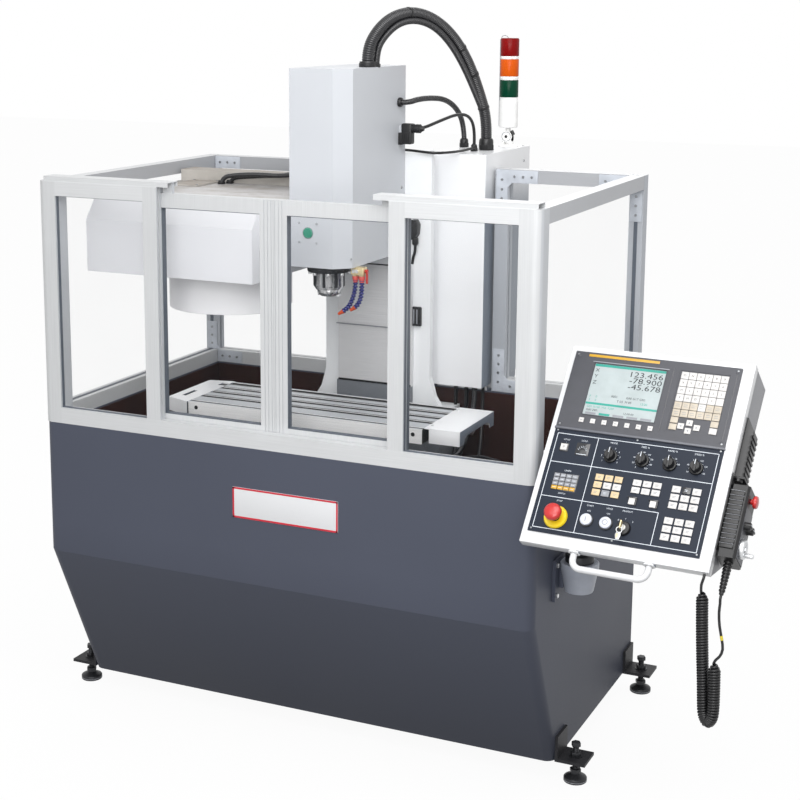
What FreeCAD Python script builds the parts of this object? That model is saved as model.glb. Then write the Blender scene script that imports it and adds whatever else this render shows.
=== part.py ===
import FreeCAD
import Part
import math
import os

# Small vertical machining centre: a coolant tank carries a glazed aluminium enclosure, and inside it
# stand the bed, column, table, head and tool changer. Millimetres, +Z up, X along the front, the
# front faces -Y. Sizes below are measured from the frame's front left corner at floor level.

Vec = FreeCAD.Vector

# Enclosure and tank
frameWidth = 1400.0
frameDepth = 900.0
footHeight = 60.0
foldHeight = 481.0
tankHeight = 845.0
frameTop = tankHeight + 653.0
toeSetback = 197.0
cornerBend = 28.0
sheet = 3.0
rimWidth = 45.0
standWidth = 90.0
running = 0.3

# Aluminium profiles of the enclosure
postWidth = 56.0
postDepth = 52.0
postRound = 22.0
rearPost = 40.0
railSection = 40.0
stileWidth = 42.0
stileDepth = 22.0
stileLeft = 327.0
stileRight = 1017.0
topRailHeight = 38.0
sillLip = 43.0
sillWall = 4.0
grooveWidth = 8.0
grooveDepth = 4.5
ribWidth = 2.5
ribDepth = 1.5
paneThickness = 4.0
gussetThickness = 3.0
gussetReach = 90.0
guideHeight = 20.0
guideWall = 2.0

# Sliding doors
doorMeet = 693.0
doorThickness = 22.0
doorGap = 2.0
doorStile = 38.0
doorTop = frameTop - 17.0
doorTopRail = 37.0
doorSill = tankHeight + 57.0

# Flat sides of small turned pieces and of cables
roundSides = 12
knobSides = 10
cableSides = 6

# Levelling feet
footInset = 245.0
padRadius = 30.0
padHeight = 14.0
coneHeight = 16.0
studRadius = 8.0
bracketReach = 80.0
bracketWidth = 80.0
bracketPlate = 8.0
bracketRise = 60.0

# Tray and bed
trayFloor = tankHeight - 245.0
traySheet = 2.0
bedTop = trayFloor + 160.0
bedHalfWidth = 165.0
bedFootWidth = 200.0
bedFront = 110.0
wayHalfSpan = 120.0
wayWidth = 40.0
wayHeight = 14.0

# Column, guides and covers
spindleX = 662.0
columnRear = frameDepth - 55.0
columnFront = columnRear - 130.0
spindleY = columnFront - 315.0
wayEnd = columnFront - 85.0
columnHeight = bedTop + 785.0
flangeHalf = 166.0
flangeThickness = 22.0
columnHalf = 119.0
columnFlare = 44.0
flareTop = bedTop + 140.0
columnFootTop = bedTop + 40.0
guideHalfSpan = 62.0
guideWidth = 22.0
guideDepth = 15.0
coverHalf = 116.0
coverSheet = 2.0
coverFlange = 12.0
lowerCoverTop = bedTop + 348.0
lowerCoverFoot = bedTop + 112.0
upperCoverFoot = bedTop + 281.0
upperCoverTop = bedTop + 468.0

# Saddle and table
tableTop = bedTop + 118.0
tableThickness = 40.0
tableFront = spindleY - 150.0
tableWidth = 256.0
tableLeft = 301.0
tableRight = 1003.0
slotCount = 4
slotWidth = 14.0
slotDepth = 10.0
slotFootWidth = 24.0
slotFootDepth = 8.0
slotPitch = 53.0
firstSlot = 75.0
gutterWidth = 12.0
gutterDepth = 4.0
saddleHalfLength = 190.0
saddleHalfWidth = 95.0
endCoverLength = 77.0
endCoverSheet = 2.5

# Head
headFront = spindleY - 70.0
headHalf = 84.0
headChamfer = 40.0
headBottom = bedTop + 504.0
headTop = headBottom + 527.0
headSheet = 2.5
castingHalf = 62.0
castingTop = headBottom + 236.0
motorHalf = 55.0
motorTop = headBottom + 476.0
noseFlangeRadius = 60.0
noseFlangeHeight = 20.0
noseRadius = 43.5
noseBottom = headBottom - 60.0
spindleTip = noseBottom - 21.0
spindleRadius = 30.0
spindleShaft = 20.0
taperMouth = 15.9
taperDepth = 48.0
noseBolts = 8
noseBoltRadius = 4.0
plugRadius = 13.0
plugScrewSpan = 52.0

# Coolant on the head
manifoldX = 751.0
manifoldWidth = 38.0
manifoldDepth = 24.0
manifoldHeight = 22.0
hoseRadius = 6.5

# Tool changer
drumX = 355.0
drumRadius = 190.0
drumTop = headBottom - 28.0
drumBottom = drumTop - 134.0
drumWall = 3.0
drumWindow = 30.0
pocketRadius = 148.0
pocketCount = 8
gripperZ = drumBottom + 16.0
gripperThickness = 14.0
housingLeft = 48.0
housingRight = 563.0
housingFront = spindleY - 250.0
housingRear = spindleY + 240.0
housingBottom = drumTop + 3.0
housingTop = housingBottom + 203.0
housingChamfer = 60.0
housingSheet = 2.5
rodRadius = 12.0
rodHalfSpan = 70.0
rodZ = housingBottom + 61.0
carriageHalf = 40.0
beamHeight = 90.0

# Electrical cabinet
cabinetLeft = 788.0
cabinetRight = 957.0
cabinetFront = frameDepth - 100.0
cabinetRear = cabinetFront + 375.0
cabinetBottom = tankHeight + 19.0
cabinetTop = cabinetBottom + 677.0
cabinetSheet = 2.0
doorLeaf = 20.0

# Signal lamp
lampX = cabinetRight - 48.0
lampY = cabinetRear - 65.0
lampRadius = 28.0
lampPivotZ = cabinetTop + 30.5
lampBodyBottom = lampPivotZ + 26.5
lampBodyTop = lampBodyBottom + 87.0
lensHeight = 50.0
lensGap = 10.0

# Control panel, in its own plane: x to the right, t up the face, n out of the face
panelX = frameWidth + 42.0
panelY = 162.0
panelZ = tankHeight + 297.0
panelTurn = -3.14
panelLean = 38.35
unitWidth = 400.0
unitHeight = 200.0
plateHeight = 262.0
panelMargin = 14.0
panelTopMargin = 16.0
panelFoot = 490.0
panelDepth = 128.0
panelLowDepth = 100.0
panelLowT = 440.0
panelSheet = 2.0
unitProud = 6.0
plateProud = 3.0
pivotX = frameWidth + 52.0
pivotY = 200.0
cupTop = tankHeight - 239.0
cupBottom = cupTop - 76.0
cupRadius = 48.0
cupFootRadius = 36.0
pivotPostRadius = 24.0
knobRadius = 12.5
knobHeight = 18.0
knobT = -256.0
handleReach = 48.0
handleRadius = 10.0

# Handwheel unit on the panel's side
pendantThickness = 42.0
pendantTop = 275.0
pendantBottom = 445.0
pendantFront = 8.0
pendantWidth = 74.0
pendantRibs = 11

# Coiled lead of the handwheel unit
leadRadius = 2.75
coilOutside = 11.5

parts = {}


def box(x0, x1, y0, y1, z0, z1):
    return Part.makeBox(x1 - x0, y1 - y0, z1 - z0, Vec(x0, y0, z0))


def cylinder(x, y, z, radius, height, axis=(0, 0, 1)):
    return Part.makeCylinder(radius, height, Vec(x, y, z), Vec(*axis))


def prism(points, axis, start, end):
    """Extrudes a polygon: the two free coordinates are given in the order x, y, z without the axis."""
    if axis == "x":
        corners = [Vec(start, a, b) for a, b in points]
        push = Vec(end - start, 0, 0)
    elif axis == "y":
        corners = [Vec(a, start, b) for a, b in points]
        push = Vec(0, end - start, 0)
    else:
        corners = [Vec(a, b, start) for a, b in points]
        push = Vec(0, 0, end - start)
    return Part.Face(Part.makePolygon(corners + corners[:1])).extrude(push)


def lathe(profile, x, y, axis=(0, 0, 1)):
    """Turns (radius, height) points about a line through x, y."""
    corners = [Vec(r, 0, z) for r, z in profile]
    face = Part.Face(Part.makePolygon(corners + corners[:1]))
    solid = face.revolve(Vec(0, 0, 0), Vec(0, 0, 1), 360)
    solid.translate(Vec(x, y, 0))
    return solid


def turned(profile, x, y, sides):
    """As lathe, with flat sides: a closed profile of (radius, height) points gives few faces."""
    spots = [(math.cos(a), math.sin(a)) for a in [2 * math.pi * (k + 0.5) / sides for k in range(sides)]]
    rings = [[Vec(r * c, r * s, z) for c, s in spots] for r, z in profile]
    faces = []
    for i, (r, z) in enumerate(profile):
        j = (i + 1) % len(profile)
        inner, outer = rings[i], rings[j]
        if r == 0 and profile[j][0] == 0:
            continue
        if abs(z - profile[j][1]) < 1e-9:
            flats = [Part.Face(Part.makePolygon(ring + ring[:1])) for ring, at in ((inner, r), (outer, profile[j][0]))
                     if at > 0]
            flats.sort(key=lambda face: -face.Area)
            faces += flats[0].cut(flats[1]).Faces if len(flats) > 1 else flats
            continue
        for k in range(sides):
            n = (k + 1) % sides
            corners = [inner[k], outer[k], outer[n], inner[n]]
            corners = [c for m, c in enumerate(corners) if (c - corners[m - 1]).Length > 1e-6]
            faces.append(Part.Face(Part.makePolygon(corners + corners[:1])))
    skin = Part.makeShell(faces)
    skin.sewShape()
    solid = Part.makeSolid(skin.Shells[0])
    if solid.Volume < 0:
        solid.reverse()
    solid.translate(Vec(x, y, 0))
    return solid


def fuse(shapes):
    return shapes[0].multiFuse(shapes[1:]).removeSplitter()


def cut(shape, tools):
    return shape.cut(Part.makeCompound(tools))


def group(shapes):
    return Part.makeCompound(shapes)


def verticalEdges(shape, spots):
    """The vertical edges of a shape that stand at the given x, y spots."""
    found = []
    for edge in shape.Edges:
        middle = edge.valueAt((edge.FirstParameter + edge.LastParameter) / 2)
        upright = abs(edge.tangentAt(edge.FirstParameter).z) > 0.999
        if upright and any(math.hypot(middle.x - x, middle.y - y) < 0.01 for x, y in spots):
            found.append(edge)
    return found


def groovedBar(x0, x1, y0, y1, z0, z1, along, faces, width=grooveWidth, depth=grooveDepth):
    """A square bar with one lengthways groove in the middle of each named face."""
    bar = box(x0, x1, y0, y1, z0, z1)
    middle = {"x": (x0 + x1) / 2, "y": (y0 + y1) / 2, "z": (z0 + z1) / 2}
    low = {"x": x0, "y": y0, "z": z0}
    high = {"x": x1, "y": y1, "z": z1}
    tools = []
    for face in faces:
        side, across = face[0], face[1]
        third = [a for a in "xyz" if a not in (across, along)][0]
        span = {along: (low[along], high[along])}
        span[third] = (middle[third] - width / 2, middle[third] + width / 2)
        if side == "+":
            span[across] = (high[across] - depth, high[across])
        else:
            span[across] = (low[across], low[across] + depth)
        tools.append(box(*span["x"], *span["y"], *span["z"]))
    return cut(bar, tools)


# ---- Tank, feet, tray ----

def tankBlock(inset):
    """The tank's outside moved inwards by inset: upright above the fold, sloping back to the toe below."""
    lean = math.atan2(toeSetback, foldHeight - footHeight)
    toe = toeSetback + inset / math.cos(lean) - inset * math.tan(lean)
    fold = foldHeight + inset * math.tan(lean / 2)
    side = [(inset, tankHeight - inset), (inset, fold), (toe, footHeight + inset)]
    side += [(frameDepth - inset, footHeight + inset), (frameDepth - inset, tankHeight - inset)]
    block = prism(side, "x", inset, frameWidth - inset)
    corners = []
    for edge in block.Edges:
        middle = edge.valueAt((edge.FirstParameter + edge.LastParameter) / 2)
        ends = [v.Point for v in edge.Vertexes]
        atSide = min(middle.x - inset, frameWidth - inset - middle.x) < 0.01
        atFront = all(p.y < toe + 0.01 for p in ends)
        steep = abs(ends[0].z - ends[1].z) > sheet * 10
        if atSide and atFront and steep:
            corners.append(edge)
    return block.makeFillet(cornerBend - inset, corners)


def tankShell():
    shell = tankBlock(0).cut(tankBlock(sheet))
    mouth = box(rimWidth, frameWidth - rimWidth, rimWidth, frameDepth - rimWidth, tankHeight - 2 * sheet, tankHeight)
    shell = shell.cut(mouth)
    pieces = [shell]
    for x in (spindleX - bedHalfWidth + standWidth / 2, spindleX + bedHalfWidth - standWidth / 2):
        for y in (toeSetback + standWidth, frameDepth - 2 * standWidth):
            tube = box(x - standWidth / 2, x + standWidth / 2, y - standWidth / 2, y + standWidth / 2,
                       footHeight + sheet, trayFloor)
            core = box(x - standWidth / 2 + 2 * sheet, x + standWidth / 2 - 2 * sheet,
                       y - standWidth / 2 + 2 * sheet, y + standWidth / 2 - 2 * sheet,
                       footHeight + sheet, trayFloor)
            pieces.append(tube.cut(core))
    for side in (-1, 1):
        wall = 0 if side < 0 else frameWidth
        for y in footRows():
            y0, y1 = y - bracketWidth / 2, y + bracketWidth / 2
            foot = box(min(wall, wall + side * bracketReach), max(wall, wall + side * bracketReach), y0, y1,
                       footHeight, footHeight + bracketPlate)
            foot = foot.cut(cylinder(footX(side), y, footHeight, studRadius + running, bracketPlate))
            rise = box(min(wall, wall + side * bracketPlate), max(wall, wall + side * bracketPlate), y0, y1,
                       footHeight, footHeight + bracketPlate + bracketRise)
            pieces += [foot, rise]
    return fuse(pieces)


def footRows():
    return footInset, frameDepth - bracketWidth / 2


def footX(side):
    edge = 0 if side < 0 else frameWidth
    return edge + side * (bracketReach + bracketPlate) / 2


def levellingFeet():
    feet = []
    seat = footHeight + bracketPlate
    for side in (-1, 1):
        for y in footRows():
            x = footX(side)
            profile = [(0, 0), (padRadius, 0), (padRadius, padHeight * 0.6), (padRadius - 3, padHeight)]
            profile += [(studRadius + 3, padHeight + coneHeight), (studRadius, padHeight + coneHeight)]
            profile += [(studRadius, seat + 3.4 * studRadius), (0, seat + 3.4 * studRadius)]
            nut = hexagon(x, y, seat, studRadius * 1.6, studRadius * 1.5)
            head = hexagon(x, y, seat + 3.4 * studRadius, studRadius * 1.5, studRadius * 1.4)
            feet.append(fuse([turned(profile, x, y, roundSides), nut, head]))
    return group(feet)


def hexagon(x, y, z, radius, height):
    corners = [(x + radius * math.cos(a), y + radius * math.sin(a))
               for a in [math.radians(60 * i) for i in range(6)]]
    return prism(corners, "z", z, z + height)


def chipTray():
    inside = rimWidth + sheet / 3
    outer = box(inside, frameWidth - inside, inside, frameDepth - inside, trayFloor, tankHeight - sheet)
    skin = inside + traySheet
    inner = box(skin, frameWidth - skin, skin, frameDepth - skin, trayFloor + traySheet, tankHeight)
    flange = box(rimWidth / 2, frameWidth - rimWidth / 2, rimWidth / 2, frameDepth - rimWidth / 2,
                 tankHeight - sheet - traySheet, tankHeight - sheet)
    return fuse([outer, flange]).cut(inner)


# ---- Aluminium frame ----

def frameUprights():
    posts = []
    middle = stileDepth / 2
    for side, x0, x1 in ((1, 0, postWidth), (-1, frameWidth - postWidth, frameWidth)):
        post = box(x0, x1, 0, postDepth, tankHeight, frameTop)
        corner = 0 if side > 0 else frameWidth
        post = post.makeFillet(postRound, verticalEdges(post, [(corner, 0)]))
        inner = x1 if side > 0 else x0
        front = box(min(inner, inner - side * grooveDepth), max(inner, inner - side * grooveDepth),
                    middle - grooveWidth / 2, middle + grooveWidth / 2, tankHeight, frameTop)
        sideX = railSection / 2 if side > 0 else frameWidth - railSection / 2
        back = box(sideX - grooveWidth / 2, sideX + grooveWidth / 2, postDepth - grooveDepth, postDepth,
                   tankHeight, frameTop)
        posts.append(cut(post, [front, back]))
    for x0 in (0, frameWidth - rearPost):
        faces = ["-y", "+x" if x0 == 0 else "-x"]
        posts.append(groovedBar(x0, x0 + rearPost, frameDepth - rearPost, frameDepth, tankHeight, frameTop,
                                "z", faces))
    posts.append(groovedBar(middlePost(), middlePost() + rearPost, frameDepth - rearPost, frameDepth, tankHeight,
                            frameTop, "z", ["+x", "-x"]))
    for x0 in (stileLeft, stileRight):
        posts.append(groovedBar(x0, x0 + stileWidth, 0, stileDepth, sillTop(), frameTop, "z", ["+x", "-x"]))
    return group(posts)


def middlePost():
    return cabinetRight + grooveWidth


def sillTop():
    return tankHeight + sillLip


def lowerRails():
    back = postDepth
    floor = tankHeight + 15
    sill = [(0, tankHeight), (back, tankHeight), (back, sillTop() - grooveWidth)]
    sill += [(back - sillWall, sillTop() - grooveWidth), (back - sillWall, floor), (stileDepth, floor)]
    sill += [(stileDepth, sillTop()), (0, sillTop())]
    front = prism(sill, "x", postWidth, frameWidth - postWidth)
    sink = grooveDepth
    for x0, x1 in ((postWidth, stileLeft + sink), (stileRight + stileWidth - sink, frameWidth - postWidth)):
        seat = box(x0, x1, (stileDepth - grooveWidth) / 2, (stileDepth + grooveWidth) / 2,
                   sillTop() - grooveDepth, sillTop())
        front = front.cut(seat)
    top = tankHeight + railSection
    rails = [front]
    for x0 in (0, frameWidth - railSection):
        rails.append(groovedBar(x0, x0 + railSection, postDepth, frameDepth - rearPost, tankHeight, top,
                                "y", ["+z"]))
    for x0, x1 in rearBays():
        rails.append(groovedBar(x0, x1, frameDepth - railSection, frameDepth, tankHeight, top, "x", ["+z"]))
    return group(rails)


def rearBays():
    return (rearPost, cabinetLeft - grooveWidth), (middlePost() + rearPost, frameWidth - rearPost)


def upperRails():
    low = frameTop - topRailHeight
    rails = []
    for x0, x1 in ((postWidth, stileLeft), (stileRight + stileWidth, frameWidth - postWidth)):
        rails.append(groovedBar(x0, x1, 0, stileDepth, low, frameTop, "x", ["-z"]))
    for x0 in (0, frameWidth - railSection):
        rails.append(groovedBar(x0, x0 + railSection, postDepth, frameDepth - rearPost, low, frameTop,
                                "y", ["-z"]))
    for x0, x1 in rearBays():
        rails.append(groovedBar(x0, x1, frameDepth - railSection, frameDepth, low, frameTop, "x", ["-z"]))
    return group(rails)


def doorGuides():
    width = postDepth - 2 * guideWall
    top = frameTop + guideHeight * 0.65
    section = [(guideWall, frameTop), (guideWall, top), (guideWall + width, top), (guideWall + width, frameTop)]
    section += [(width, frameTop), (width, top - guideWall), (2 * guideWall, top - guideWall)]
    section += [(2 * guideWall, frameTop)]
    reach = stileWidth + 33
    left = prism(section, "x", guideHeight, stileLeft + reach)
    right = prism(section, "x", stileRight + stileWidth - reach - 9, frameWidth - guideHeight / 2)
    return group([left, right])


def fixedPanes():
    sink = grooveDepth
    low, high = tankHeight + railSection - sink, frameTop - topRailHeight + sink - 0.5
    front = (stileDepth - paneThickness) / 2
    panes = []
    for x0, x1 in ((postWidth, stileLeft), (stileRight + stileWidth, frameWidth - postWidth)):
        panes.append(box(x0 - sink + 0.5, x1 + sink - 0.5, front, front + paneThickness, sillTop() - sink, high))
    for x in (railSection / 2, frameWidth - railSection / 2):
        panes.append(box(x - paneThickness / 2, x + paneThickness / 2, postDepth - sink + 0.5,
                         frameDepth - rearPost + sink - 0.5, low, high))
    y = frameDepth - rearPost / 2
    for x0, x1 in rearBays():
        far = 0 if x0 == rearPost else 1
        x1 = x1 + sink - 0.5 if far else x1
        panes.append(box(x0 - sink + 0.5, x1, y - paneThickness / 2, y + paneThickness / 2, low, high))
    return group(panes)


def cornerPlates():
    plates = []
    y1 = frameDepth - rearPost
    y0 = y1 - gussetThickness
    leg = rearPost - 2
    shape = [(2, 2), (2, leg + gussetReach), (leg, leg + gussetReach), (leg + gussetReach / 2, leg)]
    shape += [(leg + gussetReach, leg), (leg + gussetReach, 2)]
    corner = [(railSection + 1, 2), (railSection + 1, railSection + 1), (railSection * 0.65, railSection + 1)]
    corner += [(railSection * 0.65, leg + gussetReach), (leg + 6, leg + gussetReach)]
    corner += [(leg + gussetReach, leg + 6), (leg + gussetReach, 2)]
    places = [(0, 1, corner), (frameWidth, -1, corner), (middlePost(), 1, shape)]
    for x, way, outline in places:
        top = [(x + way * a, frameTop - b) for a, b in outline]
        foot = [(x + way * a, tankHeight + b) for a, b in outline]
        plates += [prism(top, "y", y0, y1), prism(foot, "y", y0, y1)]
    return group(plates)


# ---- Sliding doors ----

def doorFrame(x0, x1):
    y0 = stileDepth + doorGap
    y1 = y0 + doorThickness
    low = tankHeight + 15 + running
    paneY = (y0 + y1) / 2
    body = box(x0, x1, y0, y1, low, doorTop)
    opening = box(x0 + doorStile, x1 - doorStile, y0, y1, doorSill, doorTop - doorTopRail)
    slot = grooveDepth + 0.5
    channel = box(x0 + doorStile - slot, x1 - doorStile + slot, paneY - paneThickness / 2 - running,
                  paneY + paneThickness / 2 + running, doorSill - slot, doorTop - doorTopRail + slot)
    tools = [opening, channel]
    for edge, way in ((x0, 1), (x1, -1)):
        for i in range(3):
            x = edge + way * (ribWidth * 2 + i * ribWidth * 4)
            tools.append(box(x - ribWidth / 2, x + ribWidth / 2, y0, y0 + ribDepth, low, doorTop))
    frame = cut(body, tools)
    return frame, paneY


def doorHangers(x, toward):
    """Two blocks that carry a door in its top guide, the first at the door's outer edge."""
    y = stileDepth + doorGap + doorThickness / 2
    blocks = []
    for offset in (10, 44):
        start = x + toward * offset
        end = start + toward * 24
        blocks.append(box(min(start, end), max(start, end), y - 7, y + 7, doorTop,
                          frameTop + guideHeight * 0.65 - guideWall - running))
    return blocks


def leftDoorSpan():
    return stileLeft + 3, doorMeet - running


def rightDoorSpan():
    return doorMeet + running, stileRight + stileWidth - 3


def leftDoorFrame():
    x0, x1 = leftDoorSpan()
    return fuse([doorFrame(x0, x1)[0]] + doorHangers(x0, 1))


def rightDoorFrame():
    x0, x1 = rightDoorSpan()
    return fuse([doorFrame(x0, x1)[0]] + doorHangers(x1, -1))


def doorPane(span):
    x0, x1 = span
    paneY = doorFrame(x0, x1)[1]
    sink = grooveDepth
    return box(x0 + doorStile - sink, x1 - doorStile + sink, paneY - paneThickness / 2, paneY + paneThickness / 2,
               doorSill - sink - 0.5, doorTop - doorTopRail + sink)


# ---- Bed, saddle, table ----

def machineBed():
    floor = trayFloor + traySheet
    section = [(spindleX - bedFootWidth, floor), (spindleX + bedFootWidth, floor)]
    section += [(spindleX + bedFootWidth, floor + 30), (spindleX + bedHalfWidth, floor + 90)]
    section += [(spindleX + bedHalfWidth, bedTop), (spindleX - bedHalfWidth, bedTop)]
    section += [(spindleX - bedHalfWidth, floor + 90), (spindleX - bedFootWidth, floor + 30)]
    pieces = [prism(section, "y", bedFront, columnRear)]
    pieces.append(box(spindleX - bedFootWidth - 10, spindleX + bedFootWidth + 10, columnFront - 25, columnRear,
                      floor, bedTop))
    for way in (-1, 1):
        x = spindleX + way * wayHalfSpan
        pieces.append(box(x - wayWidth / 2, x + wayWidth / 2, bedFront, wayEnd, bedTop, bedTop + wayHeight))
    pieces.append(box(spindleX - coverHalf - 5, spindleX + coverHalf - 1, columnFront - 19, columnFront - 2, bedTop,
                      lowerCoverFoot))
    return fuse(pieces)


def saddle():
    low = bedTop + running
    y = tableFront + tableWidth / 2 + 2
    body = box(spindleX - saddleHalfLength, spindleX + saddleHalfLength, y - saddleHalfWidth, y + saddleHalfWidth,
               low, tableTop - tableThickness - running)
    tools = []
    for way in (-1, 1):
        x = spindleX + way * wayHalfSpan
        half = wayWidth / 2 + running
        tools.append(box(x - half, x + half, y - saddleHalfWidth, y + saddleHalfWidth, low,
                         bedTop + wayHeight + running))
    return cut(body, tools)


def table():
    y1 = tableFront + tableWidth
    slab = box(tableLeft, tableRight, tableFront, y1, tableTop - tableThickness, tableTop)
    tools = []
    for i in range(slotCount):
        y = tableFront + firstSlot + i * slotPitch
        foot = tableTop - slotDepth - slotFootDepth
        tools.append(box(tableLeft, tableRight, y - slotWidth / 2, y + slotWidth / 2, tableTop - slotDepth,
                         tableTop))
        tools.append(box(tableLeft, tableRight, y - slotFootWidth / 2, y + slotFootWidth / 2, foot,
                         tableTop - slotDepth))
    for y in (tableFront + gutterWidth, y1 - gutterWidth):
        tools.append(box(tableLeft, tableRight, y - gutterWidth / 2, y + gutterWidth / 2, tableTop - gutterDepth,
                         tableTop))
    return cut(slab, tools)


def leftTableCover():
    """Folded cover over the table's left end: it narrows a little towards its free edge."""
    y0, y1 = tableFront - 8, tableFront + tableWidth + 7
    outline = [(tableLeft, y0), (tableLeft - endCoverLength, y0 + 31), (tableLeft - endCoverLength, y1 - 16)]
    outline += [(tableLeft, y1)]
    skin = endCoverSheet
    inner = [(tableLeft, y0 + skin), (tableLeft - endCoverLength + skin, y0 + 31 + skin)]
    inner += [(tableLeft - endCoverLength + skin, y1 - 16 - skin), (tableLeft, y1 - skin)]
    low = tableTop - tableThickness + 1
    cover = prism(outline, "z", low, tableTop).cut(prism(inner, "z", low, tableTop - skin))
    slot = box(tableLeft - 52, tableLeft - 40, y0 + 60, y0 + 130, tableTop - skin, tableTop)
    notch = box(tableLeft - 24, tableLeft, y1 - 60, y1 - 30, tableTop - skin, tableTop)
    return cut(cover, [slot, notch])


def rightTableCover():
    """Box cover over the table's right end: the screw nut and motor sit below it."""
    x0, x1 = tableRight, tableRight + 100
    y0, y1 = tableFront + 16, tableFront + tableWidth + 7
    skin = endCoverSheet
    low = tableTop - tableThickness + 1
    cover = box(x0, x1, y0, y1, low, tableTop).cut(box(x0, x1 - skin, y0 + skin, y1 - skin, low, tableTop - skin))
    notch = box(x1 - 26, x1, y0, y0 + 34, tableTop - 16, tableTop)
    ledge = box(x1 - 26, x1, y0, y0 + 34, tableTop - 18.5, tableTop - 16)
    return cut(cover, [notch]).fuse(ledge)


# ---- Column, guides and way covers ----

def column():
    front = flangeThickness + columnFront
    flange = [(spindleX - flangeHalf, flareTop), (spindleX - flangeHalf, columnHeight)]
    flange += [(spindleX + flangeHalf, columnHeight), (spindleX + flangeHalf, flareTop)]
    flange += [(spindleX + flangeHalf + columnFlare * 0.35, tankHeight), (spindleX + flangeHalf + columnFlare, columnFootTop)]
    flange += [(spindleX - flangeHalf - columnFlare, columnFootTop), (spindleX - flangeHalf - columnFlare * 0.35, tankHeight)]
    pieces = [prism(flange, "y", columnFront, front)]
    tower = box(spindleX - columnHalf, spindleX + columnHalf, columnFront, columnRear, columnFootTop, columnHeight)
    cells = 3
    web = 24
    tall = (columnHeight - columnFootTop - web * (cells + 1)) / cells
    tools = []
    for i in range(cells):
        z = columnFootTop + web + i * (tall + web)
        tools.append(box(spindleX - columnHalf + web, spindleX + columnHalf - web, front + web / 2, columnRear,
                         z, z + tall))
    pieces.append(cut(tower, tools))
    foot = box(spindleX - flangeHalf - columnFlare, spindleX + flangeHalf + columnFlare, columnFront - 1, columnRear,
               bedTop, columnFootTop)
    pieces.append(foot)
    return fuse(pieces)


def zGuides():
    rails = []
    for way in (-1, 1):
        x = spindleX + way * guideHalfSpan
        rail = groovedBar(x - guideWidth / 2, x + guideWidth / 2, columnFront - guideDepth, columnFront,
                          columnFootTop + 130, columnHeight - 15, "z", ["+x", "-x"], 5, 3)
        rails.append(rail)
    return group(rails)


def lowerWayCover():
    y1 = columnFront - guideDepth - 2
    plate = box(spindleX - coverHalf, spindleX + coverHalf, y1 - coverSheet, y1, lowerCoverFoot, lowerCoverTop)
    sides = [box(spindleX + way * (coverHalf - 1) - 1, spindleX + way * (coverHalf - 1) + 1, y1 - coverSheet,
                 columnFront, lowerCoverFoot, lowerCoverTop) for way in (-1, 1)]
    return fuse([plate] + sides)


def upperWayCover():
    y1 = columnFront - guideDepth - 2 - 2 * coverSheet
    plate = box(spindleX - coverHalf, spindleX + coverHalf, y1 - coverSheet, y1, upperCoverFoot, upperCoverTop)
    lip = box(spindleX - coverHalf, spindleX + coverHalf, y1 - coverFlange, y1, upperCoverTop - coverSheet,
              upperCoverTop)
    return fuse([plate, lip])


# ---- Head ----

headLeft = spindleX - headHalf
headRight = spindleX + headHalf
headBack = columnFront - 2
slideFoot = headBottom + 78
apronFront = columnFront - guideDepth - 18


def headOutline(inset):
    """The head cover in plan: one front corner is cut off at 45 degrees."""
    cutIn = inset * math.tan(math.radians(22.5))
    outline = [(headLeft + inset, headFront + inset), (headRight - headChamfer - cutIn, headFront + inset)]
    outline += [(headRight - inset, headFront + headChamfer + cutIn), (headRight - inset, headBack)]
    outline += [(headLeft + inset, headBack)]
    return outline


def headCover():
    skin = headSheet
    outer = prism(headOutline(0), "z", headBottom, headTop)
    inner = prism([(x, y + (1 if y == headBack else 0)) for x, y in headOutline(skin)], "z", headBottom + skin,
                  headTop - skin)
    relief = box(headLeft, headRight, apronFront, headBack, headBottom, slideFoot + running)
    hole = cylinder(spindleX, spindleY, headBottom, noseFlangeRadius + running, skin)
    back = box(headLeft + skin, headRight - skin, columnFront - guideDepth - 6, columnFront - guideDepth - 3,
               castingTop + 26, headTop - skin)
    shell = cut(outer, [inner, relief, hole])
    port = cylinder(conduitX, conduitY, headTop - skin, conduitRadius - 2, skin)
    shell = shell.cut(port)
    plugX, plugZ = spindleX - plugScrewSpan / 2 - 3, headBottom + 93
    plug = cylinder(plugX, headFront - 2.5, plugZ, plugRadius, skin + 2.5, (0, 1, 0))
    pieces = [shell, back, plug]
    for dx in (-0.5, 0.5):
        for dz in (-0.5, 0.5):
            screw = cylinder(plugX + dx * plugScrewSpan, headFront - 1.5, plugZ + dz * plugScrewSpan, 3.5, skin + 1.5,
                             (0, 1, 0))
            pieces.append(screw)
    return fuse(pieces)


def headCasting():
    low = headBottom + headSheet
    front = headFront + headChamfer + 5
    body = box(spindleX - castingHalf, spindleX + castingHalf, front, apronFront + 6, low, castingTop)
    nose = cylinder(spindleX, spindleY, low, castingHalf, castingTop - low)
    quill = cylinder(spindleX, spindleY, low, spindleShaft + 12 + running, castingTop - low)
    slideBack = columnFront - guideDepth - running
    slide = box(spindleX - castingHalf - 18, spindleX + castingHalf + 18, apronFront + 5, slideBack, slideFoot,
                castingTop + 20)
    apron = box(spindleX - castingHalf - 18, spindleX + castingHalf + 18, apronFront,
                columnFront - guideDepth - 6, upperCoverTop, slideFoot)
    ribs = [box(spindleX + way * (castingHalf + 8) - 8, spindleX + way * (castingHalf + 8) + 8, apronFront - 130,
                apronFront + 6, castingTop - 90, castingTop) for way in (-1, 1)]
    whole = fuse([body, nose, slide, apron] + ribs)
    return whole.cut(quill)


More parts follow.
